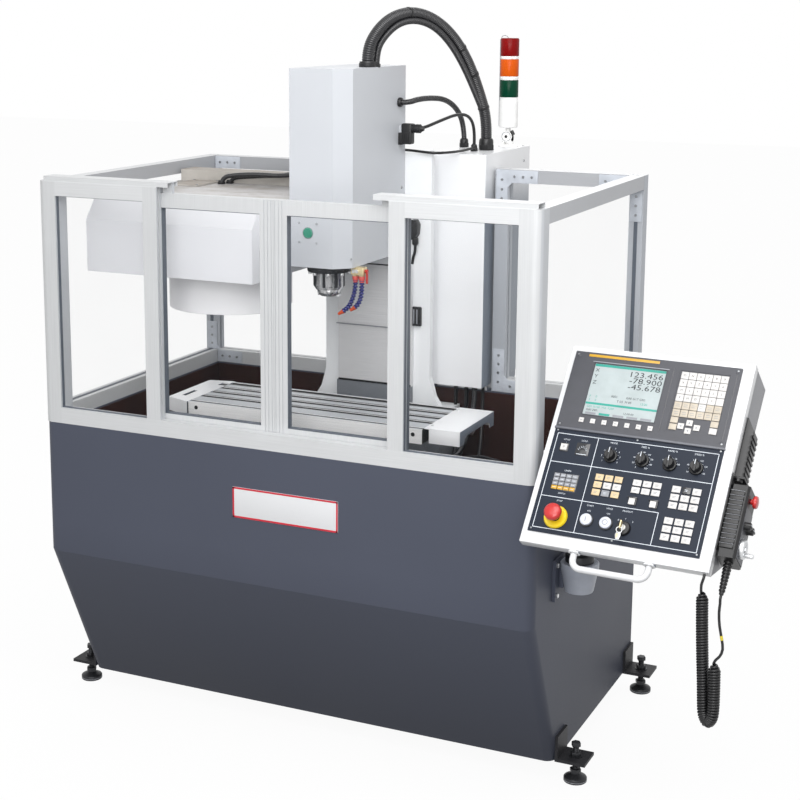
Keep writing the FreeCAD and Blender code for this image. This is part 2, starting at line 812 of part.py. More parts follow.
def spindleMotor():
    base = box(spindleX - motorHalf, spindleX + motorHalf, spindleY - motorHalf, spindleY + motorHalf, castingTop,
               castingTop + 24)
    body = box(spindleX - motorHalf, spindleX + motorHalf, spindleY - motorHalf, spindleY + motorHalf,
               castingTop + 24, motorTop - 30)
    fins = []
    for i in range(5):
        z = castingTop + 48 + i * 30
        ring = box(spindleX - motorHalf, spindleX + motorHalf, spindleY - motorHalf, spindleY + motorHalf, z, z + 8)
        waist = box(spindleX - motorHalf + 4, spindleX + motorHalf - 4, spindleY - motorHalf + 4,
                    spindleY + motorHalf - 4, z, z + 8)
        fins.append(ring.cut(waist))
    fan = cylinder(spindleX, spindleY, motorTop - 30, motorHalf - 5, 30)
    bore = cylinder(spindleX, spindleY, castingTop, spindleShaft + 6, 30)
    return fuse([base, body, fan]).cut(group(fins + [bore]))


def spindleNose():
    low = headBottom + headSheet
    profile = [(spindleRadius + running, noseBottom - 6), (noseRadius - 6, noseBottom - 6), (noseRadius, noseBottom)]
    profile += [(noseRadius, headBottom - noseFlangeHeight), (noseFlangeRadius, headBottom - noseFlangeHeight)]
    profile += [(noseFlangeRadius, low), (spindleRadius + running, low)]
    nose = lathe(profile, spindleX, spindleY)
    heads = []
    for i in range(noseBolts):
        angle = 2 * math.pi * (i + 0.5) / noseBolts
        x = spindleX + (noseRadius - 1) * math.cos(angle)
        y = spindleY + (noseRadius - 1) * math.sin(angle)
        heads.append(hexagon(x, y, noseBottom + 4, noseBoltRadius, headBottom - noseFlangeHeight - noseBottom - 4))
    return fuse([nose] + heads)


def spindle():
    low = headBottom + headSheet
    shoulder = noseBottom - 12
    profile = [(taperMouth, spindleTip), (taperMouth + 6, spindleTip), (spindleRadius - 4, shoulder)]
    profile += [(spindleRadius, shoulder + 4), (spindleRadius, low + running), (spindleShaft + 12, low + running)]
    profile += [(spindleShaft + 12, castingTop - 40), (spindleShaft, castingTop - 40), (spindleShaft, castingTop + 28)]
    profile += [(0, castingTop + 28), (0, spindleTip + taperDepth + 12), (taperMouth * 0.5, spindleTip + taperDepth + 12)]
    profile += [(taperMouth - taperDepth * 7 / 48, spindleTip + taperDepth)]
    body = lathe(profile, spindleX, spindleY)
    keys = []
    for way in (-1, 1):
        x = spindleX + way * (taperMouth + 3)
        keys.append(box(x - 2.5, x + 2.5, spindleY - 7, spindleY + 7, spindleTip - 4, spindleTip + 3))
    return fuse([body] + keys)


def coolantManifold():
    x0 = manifoldX - manifoldWidth / 2
    body = box(x0, x0 + manifoldWidth, spindleY - manifoldDepth / 2, spindleY + manifoldDepth / 2,
               headBottom - manifoldHeight, headBottom)
    pieces = [body]
    for x in hoseTops():
        pieces.append(cylinder(x, spindleY, headBottom - manifoldHeight - 10, hoseRadius + 2, 11))
    pin = cylinder(x0 + manifoldWidth, spindleY, leverZ(), 3, 10, (1, 0, 0))
    return fuse(pieces + [pin])


def hoseTops():
    return manifoldX - 10, manifoldX + 9


def leverZ():
    return headBottom - manifoldHeight / 2


def valveLever():
    x0 = manifoldX + manifoldWidth / 2 + running
    hub = cylinder(x0, spindleY, leverZ(), 6, 9, (1, 0, 0))
    bore = cylinder(x0, spindleY, leverZ(), 3 + running, 9, (1, 0, 0))
    arm = box(x0 + 2, x0 + 7, spindleY - 5, spindleY + 5, leverZ() - 34, leverZ() - 3)
    return fuse([hub, arm]).cut(bore)


# ---- Hoses and cables: straight runs joined by tangent arcs ----

def roundedRoute(points, share=0.45):
    """Straight runs between the points with a tangent arc at each turn. Returns the edges and radii."""
    edges = []
    radii = []
    start = points[0]
    for i in range(1, len(points) - 1):
        a, b, c = points[i - 1], points[i], points[i + 1]
        back, ahead = (a - b).normalize(), (c - b).normalize()
        half = (math.pi - back.getAngle(ahead)) / 2
        trim = share * min((a - b).Length, (c - b).Length)
        radius = trim / math.tan(half)
        arcStart, arcEnd = b + back * trim, b + ahead * trim
        inward = (back + ahead).normalize()
        middle = b + inward * (radius / math.cos(half) - radius)
        edges.append(Part.LineSegment(start, arcStart).toShape())
        edges.append(Part.Arc(arcStart, middle, arcEnd).toShape())
        radii.append(radius)
        start = arcEnd
    edges.append(Part.LineSegment(start, points[-1]).toShape())
    return edges, radii


def tubeAlong(edges, radius, sides):
    """A tube with flat sides along tangent edges."""
    wire = Part.Wire(edges)
    first = edges[0]
    start = first.valueAt(first.FirstParameter)
    ahead = first.tangentAt(first.FirstParameter)
    across = ahead.cross(Vec(0.3, 0.5, 0.8)).normalize()
    other = ahead.cross(across)
    corners = [start + (across * math.cos(a) + other * math.sin(a)) * radius
               for a in [2 * math.pi * k / sides for k in range(sides)]]
    ring = Part.makePolygon(corners + corners[:1])
    shell = Part.BRepOffsetAPI.MakePipeShell(wire)
    shell.add(ring)
    shell.build()
    shell.makeSolid()
    return shell.shape()


def hose(name, points, radius, sides=cableSides):
    edges, radii = roundedRoute([Vec(*p) for p in points])
    solid = tubeAlong(edges, radius, sides)
    length = sum(e.Length for e in edges)
    section = sides / 2 * radius * radius * math.sin(2 * math.pi / sides)
    print(f"{name}: length {length:.0f}, radii {min(radii):.0f} to {max(radii):.0f}, "
          f"volume / (section x length) {solid.Volume / (section * length):.4f}")
    return solid


conduitX = spindleX + 60.0
conduitY = headFront + 182.0
conduitRadius = 16.5
secondRadius = 8.0
cableRadius = 4.5
headPort = (headRight + 1, columnFront - 29.0, headBottom + 341.0)
bigFitting = (cabinetLeft + 109.0, cabinetFront + 159.0)
secondFitting = (cabinetLeft + 13.0, cabinetFront + 226.0)
glandFitting = (cabinetLeft + 90.0, cabinetFront + 111.0)
fittingHeight = 34.0


def chosen(anchor, steps):
    """Hand-chosen points of a route, measured from the place that carries it."""
    return [(anchor[0] + x, anchor[1] + y, anchor[2] + z) for x, y, z in steps]


headHoseRoute = chosen((conduitX, conduitY, headTop), [
    (0, 0, 14 + running), (0, 0, 49), (11, 38, 97), (30, 94, 133), (57, 168, 147), (87, 248, 129), (116, 322, 81),
    (141, 381, 7), (162, 424, -89)])
headHoseRoute += chosen((bigFitting[0], bigFitting[1], cabinetTop), [(0, 0, 89), (0, 0, fittingHeight)])
secondHoseRoute = chosen((headRight, columnFront, headTop), [(8 + running, -47, -101), (32, -47, -101)])
secondHoseRoute += chosen((cabinetLeft, columnFront, headTop), [
    (-4, 1, -88), (0, 85, -83), (6, 169, -93), (10, 240, -119), (13, 290, -157)])
secondHoseRoute += chosen((secondFitting[0], secondFitting[1], cabinetTop), [(0, 0, 53), (0, 0, fittingHeight - 8)])
glandRoute = chosen(headPort, [(44, 0, 10), (64, 0, 10)])
glandRoute += chosen((cabinetLeft, columnFront, headTop), [(50, 25, -159), (70, 91, -151), (84, 150, -163)])
glandRoute += chosen((glandFitting[0], glandFitting[1], cabinetTop), [(0, 0, 55), (0, 0, fittingHeight - 14)])


def headConduits():
    big = hose("head conduit", headHoseRoute, conduitRadius, roundSides)
    second = hose("second conduit", secondHoseRoute, secondRadius)
    thin = hose("head cable", glandRoute, cableRadius)
    return group([big, second, thin])


def headPorts():
    """Collar of the big conduit on the head's top and the two plugs on its side."""
    collar = cylinder(conduitX, conduitY, headTop, conduitRadius + 5, 14)
    side = cylinder(headRight, secondHoseRoute[0][1], secondHoseRoute[0][2], secondRadius + 3, 8, (1, 0, 0))
    x, y, z = headPort
    plug = box(headRight, headRight + 18, y - 15, y + 15, z - 20, z + 20)
    elbow = cylinder(headRight + 18, y, z + 10, 10, 27 - running, (1, 0, 0))
    return [collar, side, plug, elbow]


def conduitFittings():
    pieces = []
    for (x, y), radius, height in ((bigFitting, conduitRadius, fittingHeight),
                                   (secondFitting, secondRadius, fittingHeight - 8),
                                   (glandFitting, cableRadius, fittingHeight - 14)):
        base = hexagon(x, y, cabinetTop, radius + 6, height * 0.5)
        middle, top = cabinetTop + height * 0.5, cabinetTop + height
        nut = turned([(0, middle), (radius + 3, middle), (radius + 3, top), (0, top)], x, y, roundSides)
        pieces.append(base.fuse(nut))
    return group(pieces)


def coolantHoses():
    low = headBottom - manifoldHeight - 10
    xa, xb = hoseTops()
    first = [(xa, spindleY, low), (xa, spindleY, low - 22), (xa - 9, spindleY - 2, low - 54),
             (xa - 27, spindleY - 3, low - 88), (xa - 49, spindleY - 4, low - 100)]
    second = [(xb, spindleY, low), (xb, spindleY, low - 24), (xb, spindleY - 2, low - 56),
              (xb - 12, spindleY - 3, low - 84), (xb - 30, spindleY - 4, low - 96)]
    return group([hose("coolant hose 1", first, hoseRadius), hose("coolant hose 2", second, hoseRadius)])


def machineCables():
    start = (raisedRight, housingRear, housingTop + 22)
    over = (spindleX, columnFront, columnHeight)
    routeA = chosen(start, [(0, -40, 0), (42, -40, 0), (120, -44, 10), (200, -40, 10), (274, -18, 20), (330, 20, 42),
                            (350, 60, 78)])
    routeA += chosen(over, [(-102, 13, 35), (-100, 53, 35), (-100, 53, 0)])
    routeB = chosen(start, [(0, -18, -8), (40, -18, -8), (115, -22, 4), (190, -16, 8), (254, 10, 26), (302, 40, 52),
                            (322, 64, 88)])
    routeB += chosen(over, [(-126, 13, 31), (-110, 77, 31), (-110, 77, 0)])
    under = (cabinetRight, cabinetFront, cabinetBottom)
    bedSide = (spindleX + bedFootWidth + 10, cabinetFront, trayFloor)
    routeC = chosen(under, [(-30, 22, 0), (-30, 22, -58), (-32, -4, -118), (-36, -48, -164), (-46, -88, -194)])
    routeC += chosen(bedSide, [(0, -88, 70)])
    routeD = chosen(under, [(-60, 34, 0), (-60, 34, -58), (-60, 22, -120), (-58, -6, -180), (-56, -32, -224)])
    routeD += chosen(bedSide, [(0, -32, 40)])
    return group([hose("changer cable 1", routeA, 7), hose("changer cable 2", routeB, 6),
                  hose("tray cable 1", routeC, 8), hose("tray cable 2", routeD, 6)])


# ---- Tool changer ----

raisedLeft = 96.0
raisedRight = 210.0
beamTop = housingTop + 33.0
beamLeft = housingLeft + housingSheet
beamRight = housingRight - housingSheet
endPlate = 12.0


def changerFrame():
    rear = columnFront
    pieces = [box(beamLeft, beamRight, housingRear + running, rear, beamTop - beamHeight, beamTop)]
    for x0 in (beamLeft, beamRight - endPlate):
        cheek = [(spindleY - rodHalfSpan - 30, rodZ - 26), (housingRear + 20, rodZ - 26)]
        cheek += [(housingRear + 20, housingTop - 30), (spindleY + 40, housingTop - 30)]
        cheek += [(spindleY - rodHalfSpan - 30, rodZ + 26)]
        pieces.append(prism(cheek, "x", x0, x0 + endPlate))
    for way in (-1, 1):
        pieces.append(cylinder(beamLeft + endPlate - 1, spindleY + way * rodHalfSpan, rodZ, rodRadius,
                               beamRight - beamLeft - 2 * endPlate + 2, (1, 0, 0)))
    return fuse(pieces)


def changerHousing():
    skin = housingSheet
    slope = housingChamfer
    outer = [(housingFront, housingBottom), (housingFront, housingTop - slope)]
    outer += [(housingFront + slope * 0.78, housingTop), (housingRear, housingTop), (housingRear, housingBottom)]
    shell = prism(outer, "x", housingLeft, housingRight)
    inner = [(housingFront + skin, housingBottom), (housingFront + skin, housingTop - slope - skin / 2)]
    inner += [(housingFront + slope * 0.78 + skin / 2, housingTop - skin), (housingRear, housingTop - skin)]
    inner += [(housingRear, housingBottom)]
    shell = shell.cut(prism(inner, "x", housingLeft + skin, housingRight - skin))
    raised = box(raisedLeft, raisedRight, housingRear - 150, housingRear, housingTop - skin, housingTop + 36)
    return shell.fuse(raised).removeSplitter()


def toolCarriage():
    block = box(drumX - carriageHalf + 6, drumX + carriageHalf - 6, spindleY - rodHalfSpan - 28,
                spindleY + rodHalfSpan + 28, rodZ - 20, rodZ + 20)
    boss = cylinder(drumX, spindleY, drumTop, carriageHalf - 5, rodZ - 20 - drumTop)
    tools = [cylinder(drumX - carriageHalf, spindleY + way * rodHalfSpan, rodZ, rodRadius + running,
                      2 * carriageHalf, (1, 0, 0)) for way in (-1, 1)]
    tools.append(cylinder(drumX, spindleY, drumTop, spindleShaft + running, 36 + running))
    return cut(block.fuse(boss).removeSplitter(), tools)


def drumGuard():
    """Can over the drum: open below and towards the spindle, its lid notched for the spindle nose."""
    wall = drumWall
    can = cylinder(drumX, spindleY, drumBottom, drumRadius, drumTop - drumBottom)
    can = can.cut(cylinder(drumX, spindleY, drumBottom, drumRadius - wall, drumTop - drumBottom - wall))
    reach = drumRadius * 2
    angle = math.radians(drumWindow)
    wedge = [(drumX, spindleY), (drumX + reach * math.cos(angle), spindleY - reach * math.sin(angle))]
    wedge += [(drumX + reach * 2, spindleY), (drumX + reach * math.cos(angle), spindleY + reach * math.sin(angle))]
    window = prism(wedge, "z", drumBottom, drumTop - wall)
    half = noseFlangeRadius + 2
    notch = box(drumX + 95, drumX + reach, spindleY - half, spindleY + half, drumTop - wall, drumTop)
    bore = cylinder(drumX, spindleY, drumTop - wall, spindleShaft + 4, wall)
    return cut(can, [window, notch, bore])


def toolDrum():
    low = gripperZ
    disc = cylinder(drumX, spindleY, low, pocketRadius - 20, gripperThickness)
    shaft = cylinder(drumX, spindleY, low, spindleShaft, drumTop + 36 - low)
    hub = cylinder(drumX, spindleY, low - 12, spindleShaft + 26, gripperThickness + 24)
    pieces = [disc, shaft, hub]
    tools = []
    for i in range(pocketCount):
        angle = 2 * math.pi * i / pocketCount
        fork = box(drumX + pocketRadius - 43, drumX + pocketRadius + 17, spindleY - 32, spindleY + 32, low,
                   low + gripperThickness)
        mouth = cylinder(drumX + pocketRadius, spindleY, low, 22, gripperThickness)
        gap = box(drumX + pocketRadius, drumX + pocketRadius + 22, spindleY - 19, spindleY + 19, low,
                  low + gripperThickness)
        for shape, kept in ((fork, pieces), (mouth, tools), (gap, tools)):
            shape.rotate(Vec(drumX, spindleY, 0), Vec(0, 0, 1), math.degrees(angle))
            kept.append(shape)
    return cut(fuse(pieces), tools)


# ---- Electrical cabinet and signal lamp ----

def cabinetBody():
    skin = cabinetSheet
    rear = cabinetRear - doorLeaf - running
    body = box(cabinetLeft, cabinetRight, cabinetFront, rear, cabinetBottom, cabinetTop)
    body = body.makeFillet(6, verticalEdges(body, [(cabinetLeft, cabinetFront), (cabinetRight, cabinetFront)]))
    body = body.cut(box(cabinetLeft + skin, cabinetRight - skin, cabinetFront + skin, rear, cabinetBottom + skin,
                        cabinetTop - skin))
    lip = 14
    frame = box(cabinetLeft + skin / 2, cabinetRight - skin / 2, rear - skin, rear, cabinetBottom + skin / 2,
                cabinetTop - skin / 2)
    frame = frame.cut(box(cabinetLeft + lip, cabinetRight - lip, rear - skin, rear, cabinetBottom + lip,
                          cabinetTop - lip))
    plate = box(cabinetLeft + 18, cabinetRight - 18, cabinetFront + 30, cabinetFront + 33, cabinetBottom + 40,
                cabinetTop - 40)
    studs = [cylinder(x, cabinetFront + skin / 2, z, 5, 30, (0, 1, 0))
             for x in (cabinetLeft + 30, cabinetRight - 30) for z in (cabinetBottom + 60, cabinetTop - 60)]
    plinth = box(cabinetLeft + 6, cabinetRight - 6, frameDepth - rimWidth + 4, frameDepth, tankHeight, cabinetBottom)
    arms = []
    for x in (cabinetLeft + 10, cabinetRight - 26):
        brace = [(frameDepth, tankHeight - 220), (frameDepth, cabinetBottom), (cabinetRear - 60, cabinetBottom)]
        brace += [(cabinetRear - 60, cabinetBottom - 24), (frameDepth + 16, tankHeight - 220)]
        arms.append(prism(brace, "x", x, x + 16))
    for z in hingeLevels():
        arms.append(cylinder(hingeX, hingeY, z, 6, hingeHeight))
        arms.append(cylinder(hingeX, hingeY, z, 3, 2 * hingeHeight))
        arms.append(box(hingeX, cabinetLeft + 1, hingeY - 16, hingeY - 5.5 - running, z, z + hingeHeight))
        arms.append(box(hingeX - 6, hingeX + 5, hingeY - 16, hingeY, z, z + hingeHeight))
    return fuse([body, frame, plate, plinth] + studs + arms)


hingeX = cabinetLeft - 6
hingeY = cabinetRear - doorLeaf + 5
hingeHeight = 26.0


def hingeLevels():
    return cabinetBottom + 90, cabinetTop - 90 - 2 * hingeHeight


def cabinetDoor():
    rear = cabinetRear - doorLeaf
    leaf = box(cabinetLeft + 1, cabinetRight - 1, rear, cabinetRear, cabinetBottom + 1, cabinetTop - 1)
    leaf = leaf.cut(box(cabinetLeft + 3, cabinetRight - 3, rear, cabinetRear - 2, cabinetBottom + 3, cabinetTop - 3))
    rim = box(cabinetLeft + 3, cabinetRight - 3, rear, rear + 2, cabinetBottom + 3, cabinetTop - 3)
    rim = rim.cut(box(cabinetLeft + 16, cabinetRight - 16, rear, rear + 2, cabinetBottom + 16, cabinetTop - 16))
    locks = [cylinder(cabinetRight - 24, cabinetRear - 2, z, 11, 8, (0, 1, 0))
             for z in (cabinetBottom + 160, cabinetTop - 160)]
    knuckles = []
    for z in hingeLevels():
        z0 = z + hingeHeight + running
        knuckle = cylinder(hingeX, hingeY, z0, 6, hingeHeight)
        knuckle = knuckle.fuse(box(hingeX, cabinetLeft + 2, hingeY - 3, hingeY + 3, z0, z0 + hingeHeight))
        knuckles.append(knuckle.cut(cylinder(hingeX, hingeY, z0, 3 + running, hingeHeight)))
    return fuse([leaf, rim] + locks + knuckles)


def lampBase():
    """Foot, fork and folding joint; the tube with the lenses turns down on its pin."""
    foot = cylinder(lampX, lampY, cabinetTop, lampRadius - 3, 6)
    cheeks = []
    for way in (-1, 1):
        x = lampX + way * 11
        cheek = cylinder(x - 3, lampY, lampPivotZ, 15, 6, (1, 0, 0))
        leg = box(x - 3, x + 3, lampY - 12, lampY + 12, cabinetTop + 4, lampPivotZ)
        cheeks += [cheek, leg]
    return fuse([foot] + cheeks)


def lampStack():
    knuckle = cylinder(lampX - 8 + running, lampY, lampPivotZ, 15, 16 - 2 * running, (1, 0, 0))
    neck = cylinder(lampX, lampY, lampPivotZ, 7.5, lampBodyBottom - lampPivotZ + 1)
    profile = [(0, lampBodyBottom), (lampRadius - 3, lampBodyBottom), (lampRadius, lampBodyBottom + 5)]
    profile += [(lampRadius, lampBodyTop)]
    z = lampBodyTop
    for i in range(3):
        profile += [(lampRadius - 2, z), (lampRadius - 2, z + lensGap * 0.6), (lampRadius, z + lensGap * 0.6)]
        profile += [(lampRadius, z + lensGap * 0.6 + lensHeight)]
        z += lensGap * 0.6 + lensHeight
    profile += [(lampRadius - 4, z), (lampRadius - 4, z + 6), (0, z + 6)]
    return fuse([knuckle, neck, turned(profile, lampX, lampY, roundSides)])


# ---- Control panel ----

def panelPlacement():
    """Carries the panel's own plane (x right, y up the face, z out of it) to its place."""
    turn = FreeCAD.Rotation(Vec(0, 0, 1), panelTurn)
    lean = FreeCAD.Rotation(Vec(1, 0, 0), 90 - panelLean)
    return FreeCAD.Placement(Vec(panelX, panelY, panelZ), turn.multiply(lean))


def placed(shape):
    shape = shape.copy()
    shape.Placement = panelPlacement().multiply(shape.Placement)
    return shape


def flat(x0, x1, t0, t1, n0, n1):
    return box(min(x0, x1), max(x0, x1), min(t0, t1), max(t0, t1), min(n0, n1), max(n0, n1))


def panelSection(inset):
    section = [(panelTopMargin - inset, -inset), (panelTopMargin - inset, -panelDepth + inset)]
    section += [(-panelLowT, -panelLowDepth + inset), (-panelFoot + inset, -26 - inset * 0.4)]
    section += [(-panelFoot + inset, -inset)]
    return section


def panelBox():
    skin = panelSheet
    x0, x1 = -panelMargin, unitWidth + panelMargin + 12
    shell = prism(panelSection(0), "x", x0, x1).cut(prism(panelSection(skin), "x", x0 + skin, x1 - skin))
    mouth = flat(panelMargin, unitWidth - panelMargin, -panelMargin, -unitHeight - plateHeight + panelMargin, -skin, 0)
    shell = shell.cut(mouth)
    holder = flat(x1, x1 + 4, -105, -pendantBottom + 15, -25, -100)
    flag = flat(x1, x1 + 4, -105, -pendantTop + 10, -90, -140)
    whole = placed(shell.multiFuse([holder, flag]).removeSplitter())
    post = cylinder(pivotX, pivotY, cupTop - 60, pivotPostRadius, panelZ - 148 - cupTop + 60)
    inside = placed(prism(panelSection(skin), "x", x0 + skin, x1 - skin))
    collar = cylinder(pivotX, pivotY, cupTop + running, pivotPostRadius + 12, 20)
    return whole.fuse([post.cut(inside), collar]).removeSplitter()


def panelBracket():
    profile = [(pivotPostRadius + running, cupTop), (cupRadius, cupTop), (cupRadius, cupTop - 16)]
    profile += [(cupFootRadius, cupBottom), (0, cupBottom), (0, cupTop - 60 - running)]
    profile += [(pivotPostRadius + running, cupTop - 60 - running)]
    cup = lathe(profile, pivotX, pivotY)
    pad = box(frameWidth, frameWidth + 8, pivotY - 55, pivotY + 55, cupBottom - 20, cupTop + 10)
    arm = box(frameWidth, pivotX - cupFootRadius + 8, pivotY - 22, pivotY + 22, cupBottom + 6, cupTop - 10)
    return fuse([cup, pad, arm])


def displayUnit():
    plate = flat(0, unitWidth, 0, -unitHeight, 0, unitProud)
    case = flat(panelMargin + 3, unitWidth - panelMargin - 3, -panelMargin - 3, -unitHeight + 4, -62, 1)
    screen = flat(54, 228, -26, -160, unitProud - 3, unitProud)
    keypad = flat(260, 377, -21, -179, unitProud - 1, unitProud)
    return placed(cut(plate.fuse(case), [screen, keypad]).removeSplitter())


controlSpots = {"mode": (148, knobT), "feed": (223, knobT), "rapid": (287, knobT), "speed": (348, knobT)}
stopSpot = (58, -418.7)
startSpot = (131, -417)
haltSpot = (177, -417.7)
keySpot = (219, -423)
stemRadius = 4.0
stopStem = 9.0
buttonStem = 7.0


def operatorPlate():
    top, foot = -unitHeight, -unitHeight - plateHeight
    plate = flat(0, unitWidth, top, foot, 0, plateProud)
    holes = [cylinder(x, t, -1, stemRadius + running, plateProud + 2) for x, t in controlSpots.values()]
    collar = cylinder(*stopSpot, 0, 25, plateProud + 3)
    rings = [cylinder(x, t, 0, 12, plateProud + 3) for x, t in (startSpot, haltSpot, keySpot)]
    for spot, radius in ((stopSpot, stopStem), (startSpot, buttonStem), (haltSpot, buttonStem), (keySpot, buttonStem)):
        holes.append(cylinder(*spot, -1, radius + running, plateProud + 5))
    return placed(cut(plate.fuse([collar] + rings).removeSplitter(), holes))


def keyBlock(x0, x1, t0, t1, columns, rows, base, fill=0.78, height=1.6):
    keys = []
    dx, dt = (x1 - x0) / columns, (t1 - t0) / rows
    for i in range(columns):
        for j in range(rows):
            cx, ct = x0 + dx * (i + 0.5), t0 + dt * (j + 0.5)
            keys.append(flat(cx - dx * fill / 2, cx + dx * fill / 2, ct - dt * fill / 2, ct + dt * fill / 2,
                             base, base + height))
    return keys


def panelKeys():
    keys = keyBlock(263.5, 374, -25, -139, 6, 6, unitProud - 1)
    keys += keyBlock(52, 227, -173, -183, 7, 1, unitProud, 0.42)
    for dx, dt in ((0, 9), (0, -9), (-17, 0), (17, 0)):
        keys.append(flat(307 + dx - 7, 307 + dx + 7, -159.5 + dt - 4, -159.5 + dt + 4, unitProud - 1, unitProud + 0.6))
    blocks = ((124, 192, -301, -357, 3, 3), (213, 283, -302, -338, 3, 2), (304, 374, -303, -361, 3, 3),
              (303, 375, -379, -437, 3, 3))
    for x0, x1, t0, t1, columns, rows in blocks:
        keys += keyBlock(x0, x1, t0, t1, columns, rows, plateProud, 0.86)
    for x in (223, 272):
        keys.append(flat(x - 8, x + 8, -364, -348, plateProud, plateProud + 5))
    keys.append(flat(25, 41, -257, -241, plateProud, plateProud + 4))
    keys.append(flat(28, 86, -314, -355, plateProud, plateProud + 2))
    return placed(group(keys))


def panelHandle():
    t0 = -panelFoot
    n = -13
    x0, x1 = 117, 292
    low = t0 - handleReach + handleRadius
    bend = 24
    line = [Vec(x0, t0 + 1, n), Vec(x0, low, n), Vec(x1, low, n), Vec(x1, t0 + 1, n)]
    edges = [Part.LineSegment(line[0], Vec(x0, low + bend, n)).toShape()]
    dip = bend * (1 - math.sqrt(0.5))
    edges.append(Part.Arc(Vec(x0, low + bend, n), Vec(x0 + dip, low + dip, n), Vec(x0 + bend, low, n)).toShape())
    edges.append(Part.LineSegment(Vec(x0 + bend, low, n), Vec(x1 - bend, low, n)).toShape())
    edges.append(Part.Arc(Vec(x1 - bend, low, n), Vec(x1 - dip, low + dip, n), Vec(x1, low + bend, n)).toShape())
    edges.append(Part.LineSegment(Vec(x1, low + bend, n), line[3]).toShape())
    return placed(tubeAlong(edges, handleRadius - 1, knobSides).cut(flat(0, unitWidth, t0, t0 + 5, -30, 5)))


def turningKnob(spot):
    x, t = spot
    base = plateProud + running
    profile = [(0, base), (knobRadius, base), (knobRadius, base + 3), (knobRadius - 2.5, base + 5)]
    profile += [(knobRadius - 4, base + knobHeight), (0, base + knobHeight)]
    knob = turned(profile, x, t, knobSides)
    pointer = flat(x - 1.5, x + 1.5, t, t + knobRadius, base + 3, base + knobHeight + 1)
    stem = cylinder(x, t, -16, stemRadius, 17 + base)
    return placed(fuse([knob, pointer, stem]))


def keySwitch():
    x, t = keySpot
    base = plateProud + 3
    barrel = cylinder(x, t, -30, buttonStem, base + 33)
    key = flat(x - 1.2, x + 1.2, t - 9, t + 9, base + 2, base + 22)
    return placed(fuse([barrel, key]))


def emergencyStop():
    x, t = stopSpot
    seat = plateProud + 3 + 6
    profile = [(0, -34), (stopStem, -34), (stopStem, seat), (20, seat), (20.5, seat + 5), (17, seat + 10)]
    profile += [(9, seat + 13), (0, seat + 13)]
    return placed(turned(profile, x, t, roundSides))


def pushButton(spot):
    x, t = spot
    top = plateProud + 3 + 4
    profile = [(0, -30), (buttonStem, -30), (buttonStem, top - 1), (buttonStem - 1, top), (0, top)]
    return placed(turned(profile, x, t, roundSides))


# ---- Handwheel unit, hanging in its holder on the panel's right side ----

holderFace = unitWidth + panelMargin + 12 + 4
wheelSpot = (-412, -38)
pendantStopSpot = (-300, -38)
reliefLength = 75.0


def pendantBody():
    x0 = holderFace
    x1 = x0 + pendantThickness
    n0, n1 = -pendantFront, -pendantFront - pendantWidth
    body = flat(x0, x1, -pendantTop, -pendantBottom, n0, n1)
    body = body.makeChamfer(5, [e for e in body.Edges if e.Length > pendantWidth + 1])
    grooves = []
    pitch = (pendantBottom - pendantTop - 30) / pendantRibs
    for i in range(pendantRibs):
        t = -pendantTop - 15 - (i + 0.5) * pitch
        for n in (n0, n1):
            grooves.append(flat(x0, x1 - 8, t - pitch * 0.25, t + pitch * 0.25, n - 2, n + 2))
    body = cut(body, grooves)
    knobs = [cylinder(x1 - 1, -362, n, 9, 15, (1, 0, 0)) for n in (-27, -56)]
    hole = cylinder(x1 - 25, *wheelSpot, 5 + running, 26, (1, 0, 0))
    stopHole = cylinder(x1 - 30, *pendantStopSpot, 6 + running, 31, (1, 0, 0))
    relief = turned([(0, 0), (7.5, 0), (5, reliefLength), (0, reliefLength)], 0, 0, knobSides)
    relief.rotate(Vec(0, 0, 0), Vec(1, 0, 0), 90)
    relief.translate(Vec(x0 + pendantThickness / 2, -pendantBottom + 1, (n0 + n1) / 2))
    return placed(cut(fuse([body, relief] + knobs), [hole, stopHole]))


def pendantHandwheel():
    x1 = holderFace + pendantThickness
    t, n = wheelSpot
    profile = [(0, -22), (5, -22), (5, running), (19, running), (21, running + 2), (21, running + 8)]
    profile += [(18, running + 11), (0, running + 11)]
    wheel = lathe(profile, 0, 0)
    crank = cylinder(13, 0, running + 10, 4.5, 20)
    whole = fuse([wheel, crank])
    whole.rotate(Vec(0, 0, 0), Vec(0, 1, 0), 90)
    whole.translate(Vec(x1, t, n))
    return placed(whole)


def pendantStop():
    x1 = holderFace + pendantThickness
    t, n = pendantStopSpot
    profile = [(0, -22), (6, -22), (6, 6), (14, 6), (14.5, 11), (10, 16), (0, 16)]
    whole = turned(profile, 0, 0, knobSides)
    whole.rotate(Vec(0, 0, 0), Vec(0, 1, 0), 90)
    whole.translate(Vec(x1, t, n))
    return placed(whole)


# ---- Curly lead: from under the panel down and back up to the handwheel unit ----

leadExit = (415.0, -panelFoot, -13.0)
coilTop = (1838.0, -149.0, 698.0)
coilFoot = (1851.0, -144.5, 424.0)
returnFoot = (1871.0, -157.0, 424.0)
returnTop = (1869.0, -157.0, 528.0)
leadUp = [(1888.5, -156, 580), (1883, -155, 606), (1877, -153.5, 638), (1874, -151, 668), (1876, -149.5, 690)]


